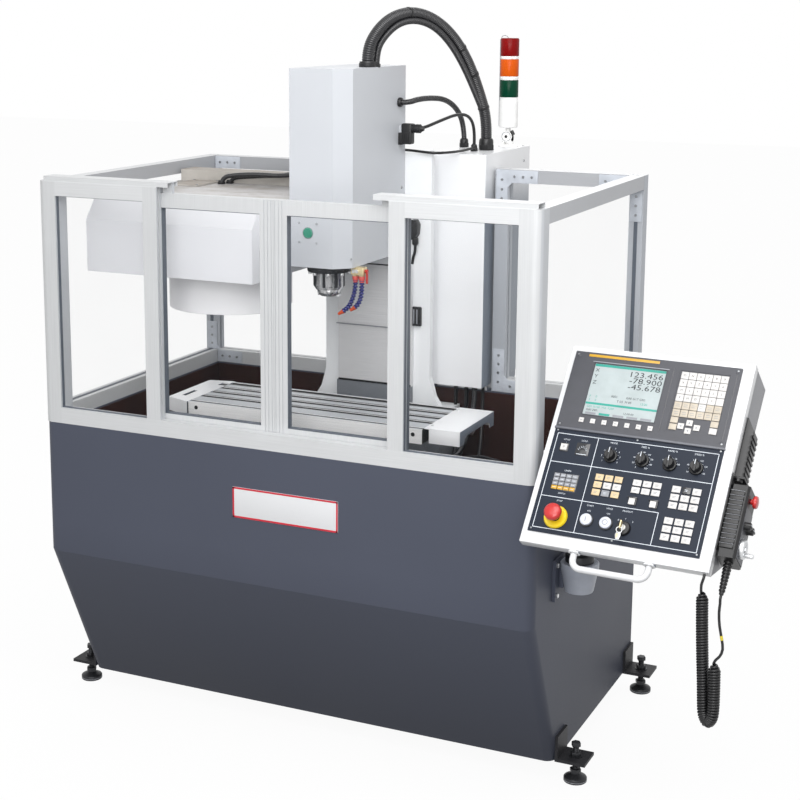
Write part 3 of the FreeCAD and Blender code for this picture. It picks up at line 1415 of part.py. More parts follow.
def pendantCord():
    left, right = Vec(*coilFoot), Vec(*returnFoot)
    legs = []
    for low, high in ((left, Vec(*coilTop)), (right, Vec(*returnTop))):
        legs.append(Part.makeCylinder(coilOutside, (high - low).Length, low, high - low))
    middle = (left + right) * 0.5
    ring = Part.Face(Part.Wire(Part.makeCircle(coilOutside, left, Vec(0, 0, 1))))
    side = right - left
    loop = ring.revolve(middle, Vec(side.y, -side.x, 0), 180)
    exit = panelPlacement().multVec(Vec(*leadExit))
    outwards = panelPlacement().Rotation.multVec(Vec(0, -1, 0))
    reliefEnd = panelPlacement().multVec(Vec(holderFace + pendantThickness / 2, -pendantBottom + 1 - reliefLength,
                                             -pendantFront - pendantWidth / 2))
    down = [exit + outwards * running, exit + outwards * 12, Vec(1834, -156, 722), Vec(1838, -149, 694)]
    up = [Vec(1869, -157, 524), Vec(1874, -158, 548)] + [Vec(*p) for p in leadUp]
    up += [reliefEnd + outwards * 12, reliefEnd + outwards * running]
    before, radiiBefore = roundedRoute(down)
    after, radiiAfter = roundedRoute(up)
    print("lead radii outside the coil:", [round(r, 1) for r in radiiBefore + radiiAfter])
    return fuse(legs + [loop, tubeAlong(before, leadRadius, cableSides), tubeAlong(after, leadRadius, cableSides)])


# ---- All the pieces ----

def addPieces():
    parts["tank_shell"] = tankShell()
    parts["chip_tray"] = chipTray()
    parts["levelling_feet"] = levellingFeet()
    parts["frame_uprights"] = frameUprights()
    parts["lower_rails"] = lowerRails()
    parts["upper_rails"] = upperRails()
    parts["door_guides"] = doorGuides()
    parts["fixed_panes"] = fixedPanes()
    parts["corner_plates"] = cornerPlates()
    parts["door_left_frame"] = leftDoorFrame()
    parts["door_left_pane"] = doorPane(leftDoorSpan())
    parts["door_right_frame"] = rightDoorFrame()
    parts["door_right_pane"] = doorPane(rightDoorSpan())
    parts["machine_bed"] = machineBed()
    parts["saddle"] = saddle()
    parts["table"] = table()
    parts["table_cover_left"] = leftTableCover()
    parts["table_cover_right"] = rightTableCover()
    parts["column"] = column()
    parts["z_guides"] = zGuides()
    parts["way_cover_lower"] = lowerWayCover()
    parts["way_cover_upper"] = upperWayCover()
    parts["head_cover"] = fuse([headCover()] + headPorts())
    parts["head_casting"] = headCasting()
    parts["spindle_motor"] = spindleMotor()
    parts["spindle_nose"] = spindleNose()
    parts["spindle"] = spindle()
    parts["coolant_manifold"] = coolantManifold()
    parts["coolant_hoses"] = coolantHoses()
    parts["valve_lever"] = valveLever()
    parts["changer_frame"] = changerFrame()
    parts["changer_housing"] = changerHousing()
    parts["tool_carriage"] = toolCarriage()
    parts["drum_guard"] = drumGuard()
    parts["tool_drum"] = toolDrum()
    parts["machine_cables"] = machineCables()
    parts["cabinet_body"] = cabinetBody()
    parts["cabinet_door"] = cabinetDoor()
    parts["conduit_fittings"] = conduitFittings()
    parts["head_conduits"] = headConduits()
    parts["lamp_base"] = lampBase()
    parts["lamp_stack"] = lampStack()
    parts["panel_bracket"] = panelBracket()
    parts["panel_box"] = panelBox()
    parts["display_unit"] = displayUnit()
    parts["operator_plate"] = operatorPlate()
    parts["panel_keys"] = panelKeys()
    parts["panel_handle"] = panelHandle()
    for name, spot in controlSpots.items():
        parts[name + "_knob"] = turningKnob(spot)
    parts["key_switch"] = keySwitch()
    parts["emergency_stop"] = emergencyStop()
    parts["start_button"] = pushButton(startSpot)
    parts["stop_button"] = pushButton(haltSpot)
    parts["pendant_body"] = pendantBody()
    parts["pendant_handwheel"] = pendantHandwheel()
    parts["pendant_stop"] = pendantStop()
    parts["pendant_cord"] = pendantCord()


def exportPieces():
    """Writes every piece with the object's middle, at floor level, at the origin."""
    os.makedirs("parts", exist_ok=True)
    bounds = FreeCAD.BoundBox()
    for name, shape in parts.items():
        if name not in ("pendant_cord", "machine_cables", "head_conduits"):
            bounds.add(shape.optimalBoundingBox(False))
    shift = Vec(-bounds.Center.x, -bounds.Center.y, -bounds.ZMin)
    print(f"origin at {-shift.x:.4f}, {-shift.y:.4f}, {-shift.z:.4f} of the frame's corner")
    print(f"size {bounds.XLength:.1f} x {bounds.YLength:.1f} x {bounds.ZLength:.1f}")
    for name, shape in parts.items():
        moved = shape.copy()
        moved.translate(shift)
        moved.exportStep(f"parts/{name}.step")


addPieces()
exportPieces()
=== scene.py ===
import math

import bmesh
import bpy
from mathutils import Matrix, Vector


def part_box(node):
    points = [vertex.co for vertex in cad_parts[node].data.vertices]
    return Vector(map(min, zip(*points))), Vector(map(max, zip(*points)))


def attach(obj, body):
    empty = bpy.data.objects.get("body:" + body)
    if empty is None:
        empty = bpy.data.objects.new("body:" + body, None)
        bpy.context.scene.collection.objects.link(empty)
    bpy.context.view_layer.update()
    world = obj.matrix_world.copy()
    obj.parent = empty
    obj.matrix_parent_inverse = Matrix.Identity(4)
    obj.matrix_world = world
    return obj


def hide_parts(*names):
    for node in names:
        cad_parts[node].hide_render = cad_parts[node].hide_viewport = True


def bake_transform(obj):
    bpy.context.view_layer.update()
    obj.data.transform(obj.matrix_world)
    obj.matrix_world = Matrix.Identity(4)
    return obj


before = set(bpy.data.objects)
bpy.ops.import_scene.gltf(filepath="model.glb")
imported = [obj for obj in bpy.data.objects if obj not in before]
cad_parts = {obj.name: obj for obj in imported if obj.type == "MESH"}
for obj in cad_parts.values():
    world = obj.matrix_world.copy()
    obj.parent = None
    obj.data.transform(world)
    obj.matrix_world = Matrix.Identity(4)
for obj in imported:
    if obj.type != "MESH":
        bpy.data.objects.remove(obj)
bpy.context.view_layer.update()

# Sizes below are millimetres from the enclosure's front left corner at floor level, as in the CAD.
tankTop = 845.0
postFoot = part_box("frame_uprights")[0]
floorCorner = Vector((postFoot.x, postFoot.y, postFoot.z - tankTop / 1000))


def at(x, y, z):
    return floorCorner + Vector((x, y, z)) / 1000


# The control panel's own plane: x to the right, y up its face, z out of it.
panelTilt = dict(x=1442.0, y=162.0, z=1142.0, turn=-3.14, lean=51.65)
panelPlane = (Matrix.Translation(at(panelTilt["x"], panelTilt["y"], panelTilt["z"]))
              @ Matrix.Rotation(math.radians(panelTilt["turn"]), 4, "Z")
              @ Matrix.Rotation(math.radians(panelTilt["lean"]), 4, "X"))
machinePlane = Matrix.Translation(floorCorner)


def onPanel(x, t, n):
    return panelPlane @ (Vector((x, t, n)) / 1000)


# directions along and against the axes of a piece's own plane
alongX, alongY, alongZ = (1, 0, 0), (0, 1, 0), (0, 0, 1)
againstY, againstZ = (0, -1, 0), (0, 0, -1)


# shader and geometry trees are written with these two classes
class Signal:
    def __init__(self, network, socket):
        self.network, self.socket = network, socket

    def maths(self, operation, first, second=0.0, clamp=False):
        return self.network.node("ShaderNodeMath", {"operation": operation, "use_clamp": clamp},
                                 {0: first, 1: second})

    def __add__(self, other):
        return self.maths("ADD", self, other)

    def __radd__(self, other):
        return self.maths("ADD", other, self)

    def __sub__(self, other):
        return self.maths("SUBTRACT", self, other)

    def __rsub__(self, other):
        return self.maths("SUBTRACT", other, self)

    def __mul__(self, other):
        return self.maths("MULTIPLY", self, other)

    def __rmul__(self, other):
        return self.maths("MULTIPLY", other, self)

    def __truediv__(self, other):
        return self.maths("DIVIDE", self, other)

    def __gt__(self, other):
        return self.maths("GREATER_THAN", self, other)

    def __lt__(self, other):
        return self.maths("LESS_THAN", self, other)

    def clamped(self):
        return self.maths("ADD", self, 0.0, True)

class Network:
    def __init__(self, tree):
        self.tree = tree

    def node(self, kind, settings=None, values=None, output=0):
        made = self.tree.nodes.new(kind)
        for name, value in (settings or {}).items():
            if name == "stops":
                elements = made.color_ramp.elements
                while len(elements) < len(value):
                    elements.new(0.5)
                for element, (place, colour) in zip(elements, value):
                    element.position, element.color = place, colour
            else:
                setattr(made, name, value)
        for name, value in (values or {}).items():
            self.plug(made.inputs[name], value)
        return Signal(self, made.outputs[output]) if made.outputs else None

    def plug(self, socket, value):
        if isinstance(value, Signal):
            self.tree.links.new(value.socket, socket)
        elif socket.type == "RGBA":
            socket.default_value = tuple(value)[:3] + (1.0,)
        else:
            socket.default_value = value


def tone(red, green, blue):
    return tuple(((c / 255 + 0.055) / 1.055) ** 2.4 if c > 10 else c / 3295 for c in (red, green, blue))


class Finish(Network):
    def __init__(self, name):
        self.material = bpy.data.materials.new(name)
        self.material.use_nodes = True
        super().__init__(self.material.node_tree)
        self.tree.nodes.clear()
        self.place = self.node("ShaderNodeTexCoord", output="Object")

    def noise(self, scale, detail=3.0, rough=0.5, stretch=None):
        place = self.place
        if stretch:
            place = self.node("ShaderNodeMapping", values={"Vector": self.place, "Scale": stretch})
        return self.node("ShaderNodeTexNoise", values={"Vector": place, "Scale": scale, "Detail": detail,
                                                        "Roughness": rough})

    def axis(self, letter):
        return self.node("ShaderNodeSeparateXYZ", values={0: self.place}, output=letter)

    def blend(self, share, first, second):
        return self.node("ShaderNodeMix", {"data_type": "RGBA"}, {0: share, 6: first, 7: second}, 2)

    def spread(self, signal, low, high, start=0.0, stop=1.0):
        return self.node("ShaderNodeMapRange", values={"Value": signal, "From Min": low, "From Max": high,
                                                       "To Min": start, "To Max": stop})

    def facing(self, letter):
        normal = self.node("ShaderNodeTexCoord", output="Normal")
        return self.node("ShaderNodeSeparateXYZ", values={0: normal}, output=letter)

    def bump(self, height, depth, under=None):
        values = {"Height": height, "Distance": depth, "Strength": 1.0}
        if under:
            values["Normal"] = under
        return self.node("ShaderNodeBump", values=values)

    def surface(self, sockets):
        shader = self.node("ShaderNodeBsdfPrincipled", values=sockets)
        self.node("ShaderNodeOutputMaterial", values={"Surface": shader})
        return self.material


def shade(colour, factor):
    return tuple(min(1.0, c * factor) for c in colour)


# finishes: painted sheet and castings, drawn or ground metal, moulded plastic, clear sheet
def painted(name, look):
    finish = Finish(name)
    cloud = finish.noise(look.get("cloud", 5.0), 4.0)
    speck = finish.noise(look["grain"], 2.0)
    share = finish.spread(cloud, 0.3, 0.7)
    base = finish.blend(share, shade(look["tone"], 1 - look["mottle"]),
                        shade(look["tone"], 1 + look["mottle"]))
    dirt = look.get("dirt")
    if dirt:  # oily film that gathers low down
        low = finish.spread(finish.axis("Z"), dirt["low"], dirt["high"], 1.0, 0.0)
        film = (low * finish.spread(finish.noise(9.0, 5.0), 0.35, 0.7)).clamped()
        base = finish.blend(film * dirt["share"], base, dirt["tone"])
    if look.get("topStainAndShade"):  # faces that look up are darkened as painted shade, with patches of workshop dust and oil stain
        patches = finish.spread(finish.noise(11.0, 6.0, 0.65), 0.42, 0.62)
        stainAndShade = (finish.facing("Z") > 0.8) * (patches * 0.4 + 0.4)
        base = finish.blend((finish.facing("Z") > 0.3) * 0.4, base, shade(look["tone"], 0.62))
        base = finish.blend(stainAndShade, base, look["topStainAndShade"])
    if look.get("beside"):  # the right side lies in the frame's shade below the top rail
        shaded = (finish.facing("X") > 0.8) * finish.spread(finish.axis("Z"), 1.36, 1.475, 1.0, 0.0)
        base = finish.blend(shaded * 0.9, base, look["beside"])
    if look.get("paintedLowShade"):  # painted shade: below the fold of the tank the colour darkens towards the floor
        near = finish.spread(finish.axis("Z"), 0.1, 0.57, 1.0, 0.0)
        base = finish.blend(near * look["paintedLowShade"], base, shade(look["tone"], 0.3))
    if look.get("plinth"):  # the foot brackets outside the tank's sides are darker
        across = finish.axis("X")
        beside = ((across < floorCorner.x - 0.0005) + (across > floorCorner.x + 1.4005)).clamped()
        base = finish.blend(beside * (finish.axis("Z") < 0.16), base, look["plinth"])
    rough = look["rough"] + (speck - 0.5) * 0.12 + (cloud - 0.5) * look.get("sheen", 0.1)
    return finish.surface({"Base Color": base, "Roughness": rough, "Metallic": look.get("metal", 0.0),
                           "Coat Weight": look.get("coat", 0.0), "Coat Roughness": 0.12,
                           "Specular IOR Level": look.get("gloss", 0.5),
                           "Normal": finish.bump(speck, look["depth"])})


def drawn(name, look):
    finish = Finish(name)
    lines = finish.noise(look["lines"], 2.0, stretch=look["stretch"])
    cloud = finish.noise(7.0, 3.0)
    base = finish.blend(finish.spread(lines, 0.3, 0.7), shade(look["tone"], 1 - look["streak"]),
                        shade(look["tone"], 1 + look["streak"]))
    base = finish.blend(finish.spread(cloud, 0.35, 0.7) * 0.25, base, shade(look["tone"], 0.86))
    if look.get("top"):  # the ground face above is duller than the sides; the slots and a band along each on top are painted dark, as shade in the recesses
        base = finish.blend(finish.facing("Z") > 0.8, base, look["top"])
        within = (finish.axis("Y") > floorCorner.y + 0.2525) * (finish.axis("Y") < floorCorner.y + 0.5035)
        along = finish.axis("Y")
        for middle in look["slots"]:
            near = ((along > floorCorner.y + middle - look["slotShadeHalf"])
                    * (along < floorCorner.y + middle + look["slotShadeHalf"]))
            base = finish.blend(near * within * (finish.facing("Z") > 0.8), base, look["slot"])
        base = finish.blend(within * (finish.axis("Z") < 0.8765), base, look["slot"])
    if look.get("outer"):  # painted shade: the outer faces to the right and the rear uprights are darkened, as shade
        base = finish.blend((finish.facing("X") > 0.8) * look["share"], base, look["outer"])
        rear = (finish.axis("Y") > floorCorner.y + 0.855) * 0.6 * (finish.facing("Z") < 0.5)
        base = finish.blend(rear, base, look["outer"])
    rough = look["rough"] + (lines - 0.5) * 0.14 + (cloud - 0.5) * 0.1
    return finish.surface({"Base Color": base, "Roughness": rough, "Metallic": look["metal"],
                           "Normal": finish.bump(lines, look["depth"])})


def moulded(name, look):
    finish = Finish(name)
    grain = finish.noise(look.get("grain", 1400.0), 2.0)
    cloud = finish.noise(30.0, 3.0)
    base = finish.blend(finish.spread(cloud, 0.3, 0.7), shade(look["tone"], 0.93),
                        shade(look["tone"], 1.07))
    rough = look["rough"] + (grain - 0.5) * 0.1 + (cloud - 0.5) * 0.08
    return finish.surface({"Base Color": base, "Roughness": rough, "Coat Weight": look.get("coat", 0.0),
                           "Specular IOR Level": look.get("gloss", 0.5),
                           "Emission Color": look.get("glow", (0.0, 0.0, 0.0)),
                           "Emission Strength": look.get("glowStrength", 0.0),
                           "Normal": finish.bump(grain, look.get("depth", 0.00002))})


def clearSheet(name, look):
    finish = Finish(name)
    smear = finish.noise(6.0, 5.0, 0.6)
    rough = 0.04 + finish.spread(smear, 0.45, 0.8, 0.0, 0.12)
    alpha = look["body"] + finish.spread(smear, 0.5, 0.85, 0.0, look["smear"])
    return finish.surface({"Base Color": look["tone"], "Roughness": rough, "Alpha": alpha, "IOR": 1.5})


looks = dict(
    tank=dict(tone=tone(77, 81, 94), mottle=0.035, rough=0.5, gloss=0.2, paintedLowShade=0.62,
              plinth=tone(40, 40, 43), grain=520.0, depth=0.00012, cloud=2.5),
    tray=dict(tone=tone(46, 17, 10), mottle=0.3, rough=0.5, gloss=0.3, grain=160.0, depth=0.0003,
              cloud=7.0, coat=0.08,
              dirt=dict(low=0.58, high=0.8, share=0.55, tone=tone(24, 18, 15))),
    head=dict(tone=tone(197, 200, 205), mottle=0.015, rough=0.4, grain=420.0, depth=0.00005),
    cabinet=dict(tone=tone(240, 241, 243), beside=tone(98, 110, 126), mottle=0.012, rough=0.36,
                 grain=420.0, depth=0.00005, coat=0.15),
    casting=dict(tone=tone(242, 244, 246), mottle=0.03, rough=0.48, grain=130.0, depth=0.0003),
    bed=dict(tone=tone(120, 124, 130), mottle=0.06, rough=0.5, grain=110.0, depth=0.0004,
             dirt=dict(low=0.6, high=0.72, share=0.5, tone=tone(50, 44, 40))),
    changer=dict(tone=tone(236, 237, 241), topStainAndShade=tone(150, 142, 132), mottle=0.015, rough=0.42,
                 grain=420.0, depth=0.00005),
    # the drum guard's paint is brighter than the same paint on the changer, painted light against the shade
    # under the changer
    drumPaintedLight=dict(tone=tone(252, 252, 255), mottle=0.015, rough=0.42, grain=420.0, depth=0.00005),
    stained=dict(tone=tone(178, 174, 168), mottle=0.2, rough=0.5, grain=240.0, depth=0.0001, cloud=9.0,
                 topStainAndShade=tone(140, 128, 116)),
    feet=dict(tone=tone(44, 45, 48), mottle=0.12, rough=0.42, grain=260.0, depth=0.0001, metal=0.5),
    navy=dict(tone=tone(26, 34, 48), mottle=0.04, rough=0.45, gloss=0.25, grain=700.0, depth=0.00002),
    plate=dict(tone=tone(220, 221, 223), mottle=0.01, rough=0.3, grain=500.0, depth=0.00002, coat=0.3),
)
metals = dict(
    barUp=dict(tone=(0.59, 0.60, 0.61), outer=(0.34, 0.37, 0.42), share=0.35, lines=700.0,
               stretch=(1.0, 1.0, 0.01), streak=0.05, rough=0.42, metal=0.12, depth=0.00003),
    barAcross=dict(tone=(0.61, 0.62, 0.63), lines=700.0, stretch=(0.01, 1.0, 1.0), streak=0.05, rough=0.42,
                   metal=0.12, depth=0.00003),
    barTop=dict(tone=(0.63, 0.64, 0.65), outer=(0.28, 0.29, 0.32), share=0.6, lines=700.0,
                stretch=(0.01, 1.0, 1.0), streak=0.05, rough=0.42, metal=0.12, depth=0.00003),
    wayCover=dict(tone=(0.72, 0.72, 0.73), lines=600.0, stretch=(0.02, 1.0, 1.0), streak=0.06, rough=0.4,
                  metal=0.3, depth=0.00004),
    table=dict(tone=(1.0, 1.0, 1.0), top=(0.50, 0.52, 0.55), slot=(0.02, 0.02, 0.022),
               slots=(0.325, 0.378, 0.431, 0.484), slotShadeHalf=0.013, lines=420.0, stretch=(0.03, 1.0, 1.0),
               streak=0.1, rough=0.42, metal=0.15, depth=0.00006),
    ground=dict(tone=(0.56, 0.56, 0.57), lines=900.0, stretch=(1.0, 1.0, 0.05), streak=0.1, rough=0.28,
                metal=1.0, depth=0.00003),
    nose=dict(tone=(0.33, 0.34, 0.35), lines=900.0, stretch=(0.1, 0.1, 1.0), streak=0.15, rough=0.3,
              metal=1.0, depth=0.00004),
    zinc=dict(tone=(0.66, 0.67, 0.68), lines=500.0, stretch=(1.0, 1.0, 1.0), streak=0.1, rough=0.32,
              metal=0.9, depth=0.00004),
    brass=dict(tone=(0.72, 0.60, 0.36), lines=400.0, stretch=(1.0, 1.0, 1.0), streak=0.15, rough=0.38,
               metal=0.8, depth=0.0001),
    castAlu=dict(tone=(0.50, 0.51, 0.53), lines=300.0, stretch=(1.0, 1.0, 1.0), streak=0.12, rough=0.5,
                 metal=0.6, depth=0.0001),
)
plastics = dict(
    black=dict(tone=tone(20, 20, 22), rough=0.4),
    conduit=dict(tone=tone(30, 30, 33), rough=0.26, coat=0.25),
    rubber=dict(tone=tone(15, 15, 17), rough=0.34),
    unit=dict(tone=tone(66, 67, 73), rough=0.42, grain=900.0, depth=0.00005),
    darkGlass=dict(tone=tone(28, 30, 35), rough=0.12, coat=0.6),
    keyWhite=dict(tone=tone(206, 204, 202), rough=0.4),
    keyBeige=dict(tone=tone(188, 178, 162), rough=0.42),
    keyTan=dict(tone=tone(206, 184, 146), rough=0.42),
    keyGrey=dict(tone=tone(140, 142, 148), rough=0.42),
    printWhite=dict(tone=tone(214, 220, 228), rough=0.5),
    printDark=dict(tone=tone(30, 34, 38), rough=0.5),
    unitLip=dict(tone=tone(98, 100, 107), rough=0.42),
    stripGold=dict(tone=tone(200, 154, 46), rough=0.35),
    screenPale=dict(tone=tone(166, 176, 177), rough=0.3, glow=tone(166, 176, 177), glowStrength=0.06),
    screenTeal=dict(tone=tone(40, 146, 132), rough=0.3, glow=tone(40, 146, 132), glowStrength=0.1),
    stopRed=dict(tone=tone(190, 34, 32), rough=0.3, coat=0.4),
    stopYellow=dict(tone=tone(236, 205, 32), rough=0.38),
    buttonPale=dict(tone=tone(206, 210, 222), rough=0.25, coat=0.4),
    hoseBlue=dict(tone=tone(18, 26, 104), rough=0.24, coat=0.4),
    tipOrange=dict(tone=tone(206, 78, 32), rough=0.38),
    leverRed=dict(tone=tone(190, 44, 32), rough=0.35),
    lampWhite=dict(tone=tone(244, 244, 243), rough=0.35),
    lampRed=dict(tone=tone(130, 9, 10), rough=0.25, gloss=0.12),
    lampOrange=dict(tone=tone(212, 88, 14), rough=0.25, gloss=0.12),
    lampGreen=dict(tone=tone(0, 60, 40), rough=0.25, gloss=0.12),
    tagYellow=dict(tone=tone(214, 196, 60), rough=0.5),
    plugTeal=dict(tone=tone(52, 142, 116), rough=0.35),
    collarPink=dict(tone=tone(214, 92, 84), rough=0.35),
    sealShadeDark=dict(tone=tone(84, 91, 101), rough=0.5),
    anglePlate=dict(tone=tone(194, 199, 207), rough=0.4, grain=500.0, depth=0.00006),
    cupPale=dict(tone=tone(168, 173, 184), rough=0.42, grain=500.0, depth=0.00006),
    boxGrey=dict(tone=tone(132, 133, 138), rough=0.4, grain=500.0, depth=0.00004),
    borderRed=dict(tone=tone(198, 30, 52), rough=0.4),
)
finishes = {name: painted(name, look) for name, look in looks.items()}
finishes.update({name: drawn(name, look) for name, look in metals.items()})
finishes.update({name: moulded(name, look) for name, look in plastics.items()})
finishes["pane"] = clearSheet("pane", dict(tone=(0.22, 0.25, 0.27), body=0.016, smear=0.008))
print("finishes:", len(finishes))

nodeFinish = dict(
    tank_shell="tank", chip_tray="tray", levelling_feet="feet", frame_uprights="barUp",
    lower_rails="barAcross", upper_rails="barTop", door_guides="barAcross", fixed_panes="pane",
    corner_plates="zinc", door_left_frame="barUp", door_right_frame="barUp", door_left_pane="pane",
    door_right_pane="pane", machine_bed="bed", saddle="casting", table="table", table_cover_left="cabinet",
    table_cover_right="cabinet", column="casting", z_guides="ground", way_cover_lower="wayCover",
    way_cover_upper="wayCover", head_cover="head", head_casting="casting", spindle_motor="castAlu",
    spindle_nose="nose", spindle="ground", coolant_manifold="brass", coolant_hoses="hoseBlue",
    valve_lever="leverRed", changer_frame="stained", changer_housing="changer", tool_carriage="castAlu",
    drum_guard="changer", tool_drum="castAlu", machine_cables="rubber", cabinet_body="cabinet",
    cabinet_door="cabinet", conduit_fittings="black", head_conduits="conduit", lamp_base="lampWhite",
    lamp_stack="lampWhite", panel_bracket="tank", panel_box="cabinet", display_unit="unit",
    operator_plate="navy", panel_keys="keyWhite", panel_handle="cabinet", mode_knob="black",
    feed_knob="black", rapid_knob="black", speed_knob="black", key_switch="zinc", emergency_stop="stopRed",
    start_button="buttonPale", stop_button="buttonPale", pendant_body="black", pendant_handwheel="zinc",
    pendant_stop="stopRed", pendant_cord="rubber",
)
for node, name in nodeFinish.items():
    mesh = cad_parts[node].data
    mesh.materials.clear()
    mesh.materials.append(finishes[name])
print("nodes dressed:", len(nodeFinish))

# camera, light and floor
camera = dict(x=2569.7, y=-3449.5, z=1942.1, yaw=25.243, pitch=10.947, roll=0.223, lens=72.145,
              shift=(0.05, -0.10))
optics = bpy.data.cameras.new("photoLens")
optics.lens, optics.sensor_width = camera["lens"], 36.0
optics.shift_x, optics.shift_y = camera["shift"]
optics.clip_end = 60.0
eye = bpy.data.objects.new("photoCamera", optics)
bpy.context.scene.collection.objects.link(eye)
eye.matrix_world = (Matrix.Translation(at(camera["x"], camera["y"], camera["z"]))
                    @ Matrix.Rotation(math.radians(camera["yaw"]), 4, "Z")
                    @ Matrix.Rotation(math.radians(90 - camera["pitch"]), 4, "X")
                    @ Matrix.Rotation(math.radians(camera["roll"]), 4, "Z"))
bpy.context.scene.camera = eye

studio = dict(sky=0.78, backdrop=1.0, floorSize=40.0, floorTone=0.92, floorBounce=0.2, floorGlow=0.94)
lamps = dict(
    key=dict(spot=(500, -3400, 4200), aim=(700, 450, 900), size=2.6, power=34.0),
    front=dict(spot=(2400, -4400, 2300), aim=(700, 450, 900), size=2.6, power=94.0),
    inner=dict(spot=(1750, -800, 2700), aim=(800, 700, 1150), size=1.6, power=26.0),
    right=dict(spot=(4600, 600, 2600), aim=(700, 450, 900), size=2.0, power=2.0),
    back=dict(spot=(200, 4200, 3600), aim=(700, 450, 900), size=2.4, power=30.0),
)
for name, lamp in lamps.items():
    light = bpy.data.lights.new(name, "AREA")
    light.energy, light.size = lamp["power"], lamp["size"]
    holder = bpy.data.objects.new(name, light)
    bpy.context.scene.collection.objects.link(holder)
    holder.location = at(*lamp["spot"])
    holder.rotation_mode = "QUATERNION"
    holder.rotation_quaternion = (at(*lamp["aim"]) - holder.location).to_track_quat("-Z", "Y")


def backgroundShare(network):
    path = network.tree.nodes.new("ShaderNodeLightPath")
    seen = [Signal(network, path.outputs[name]) for name in
            ("Is Camera Ray", "Is Glossy Ray", "Is Transmission Ray")]
    return (seen[0] + seen[1] + seen[2]).clamped()


world = bpy.data.worlds.new("studio")
world.use_nodes = True
bpy.context.scene.world = world
sky = Network(world.node_tree)
sky.tree.nodes.clear()
strength = studio["sky"] + backgroundShare(sky) * (studio["backdrop"] - studio["sky"])
skyLight = sky.node("ShaderNodeBackground", values={"Color": (1.0, 1.0, 1.0), "Strength": strength})
sky.node("ShaderNodeOutputWorld", values={"Surface": skyLight})

floorMesh = bpy.data.meshes.new("studioFloor")
half = studio["floorSize"] / 2
floorMesh.from_pydata([(-half, -half, 0), (half, -half, 0), (half, half, 0), (-half, half, 0)], [],
                      [(0, 1, 2, 3)])
floor = bpy.data.objects.new("studioFloor", floorMesh)
bpy.context.scene.collection.objects.link(floor)
floorFinish = Finish("studioFloor")
seenTone = floorFinish.blend(backgroundShare(floorFinish), (studio["floorBounce"],) * 3,
                             (studio["floorTone"],) * 3)
matt = floorFinish.node("ShaderNodeBsdfDiffuse", values={"Color": seenTone})
glow = floorFinish.node("ShaderNodeEmission", values={"Color": (1.0, 1.0, 1.0), "Strength": 1.0})
mixed = floorFinish.node("ShaderNodeMixShader",
                         values={0: backgroundShare(floorFinish) * studio["floorGlow"],
                                                        1: matt, 2: glow})
floorFinish.node("ShaderNodeOutputMaterial", values={"Surface": mixed})
floorMesh.materials.append(floorFinish.material)
bpy.context.scene.view_settings.view_transform = "Standard"
print("studio ready")


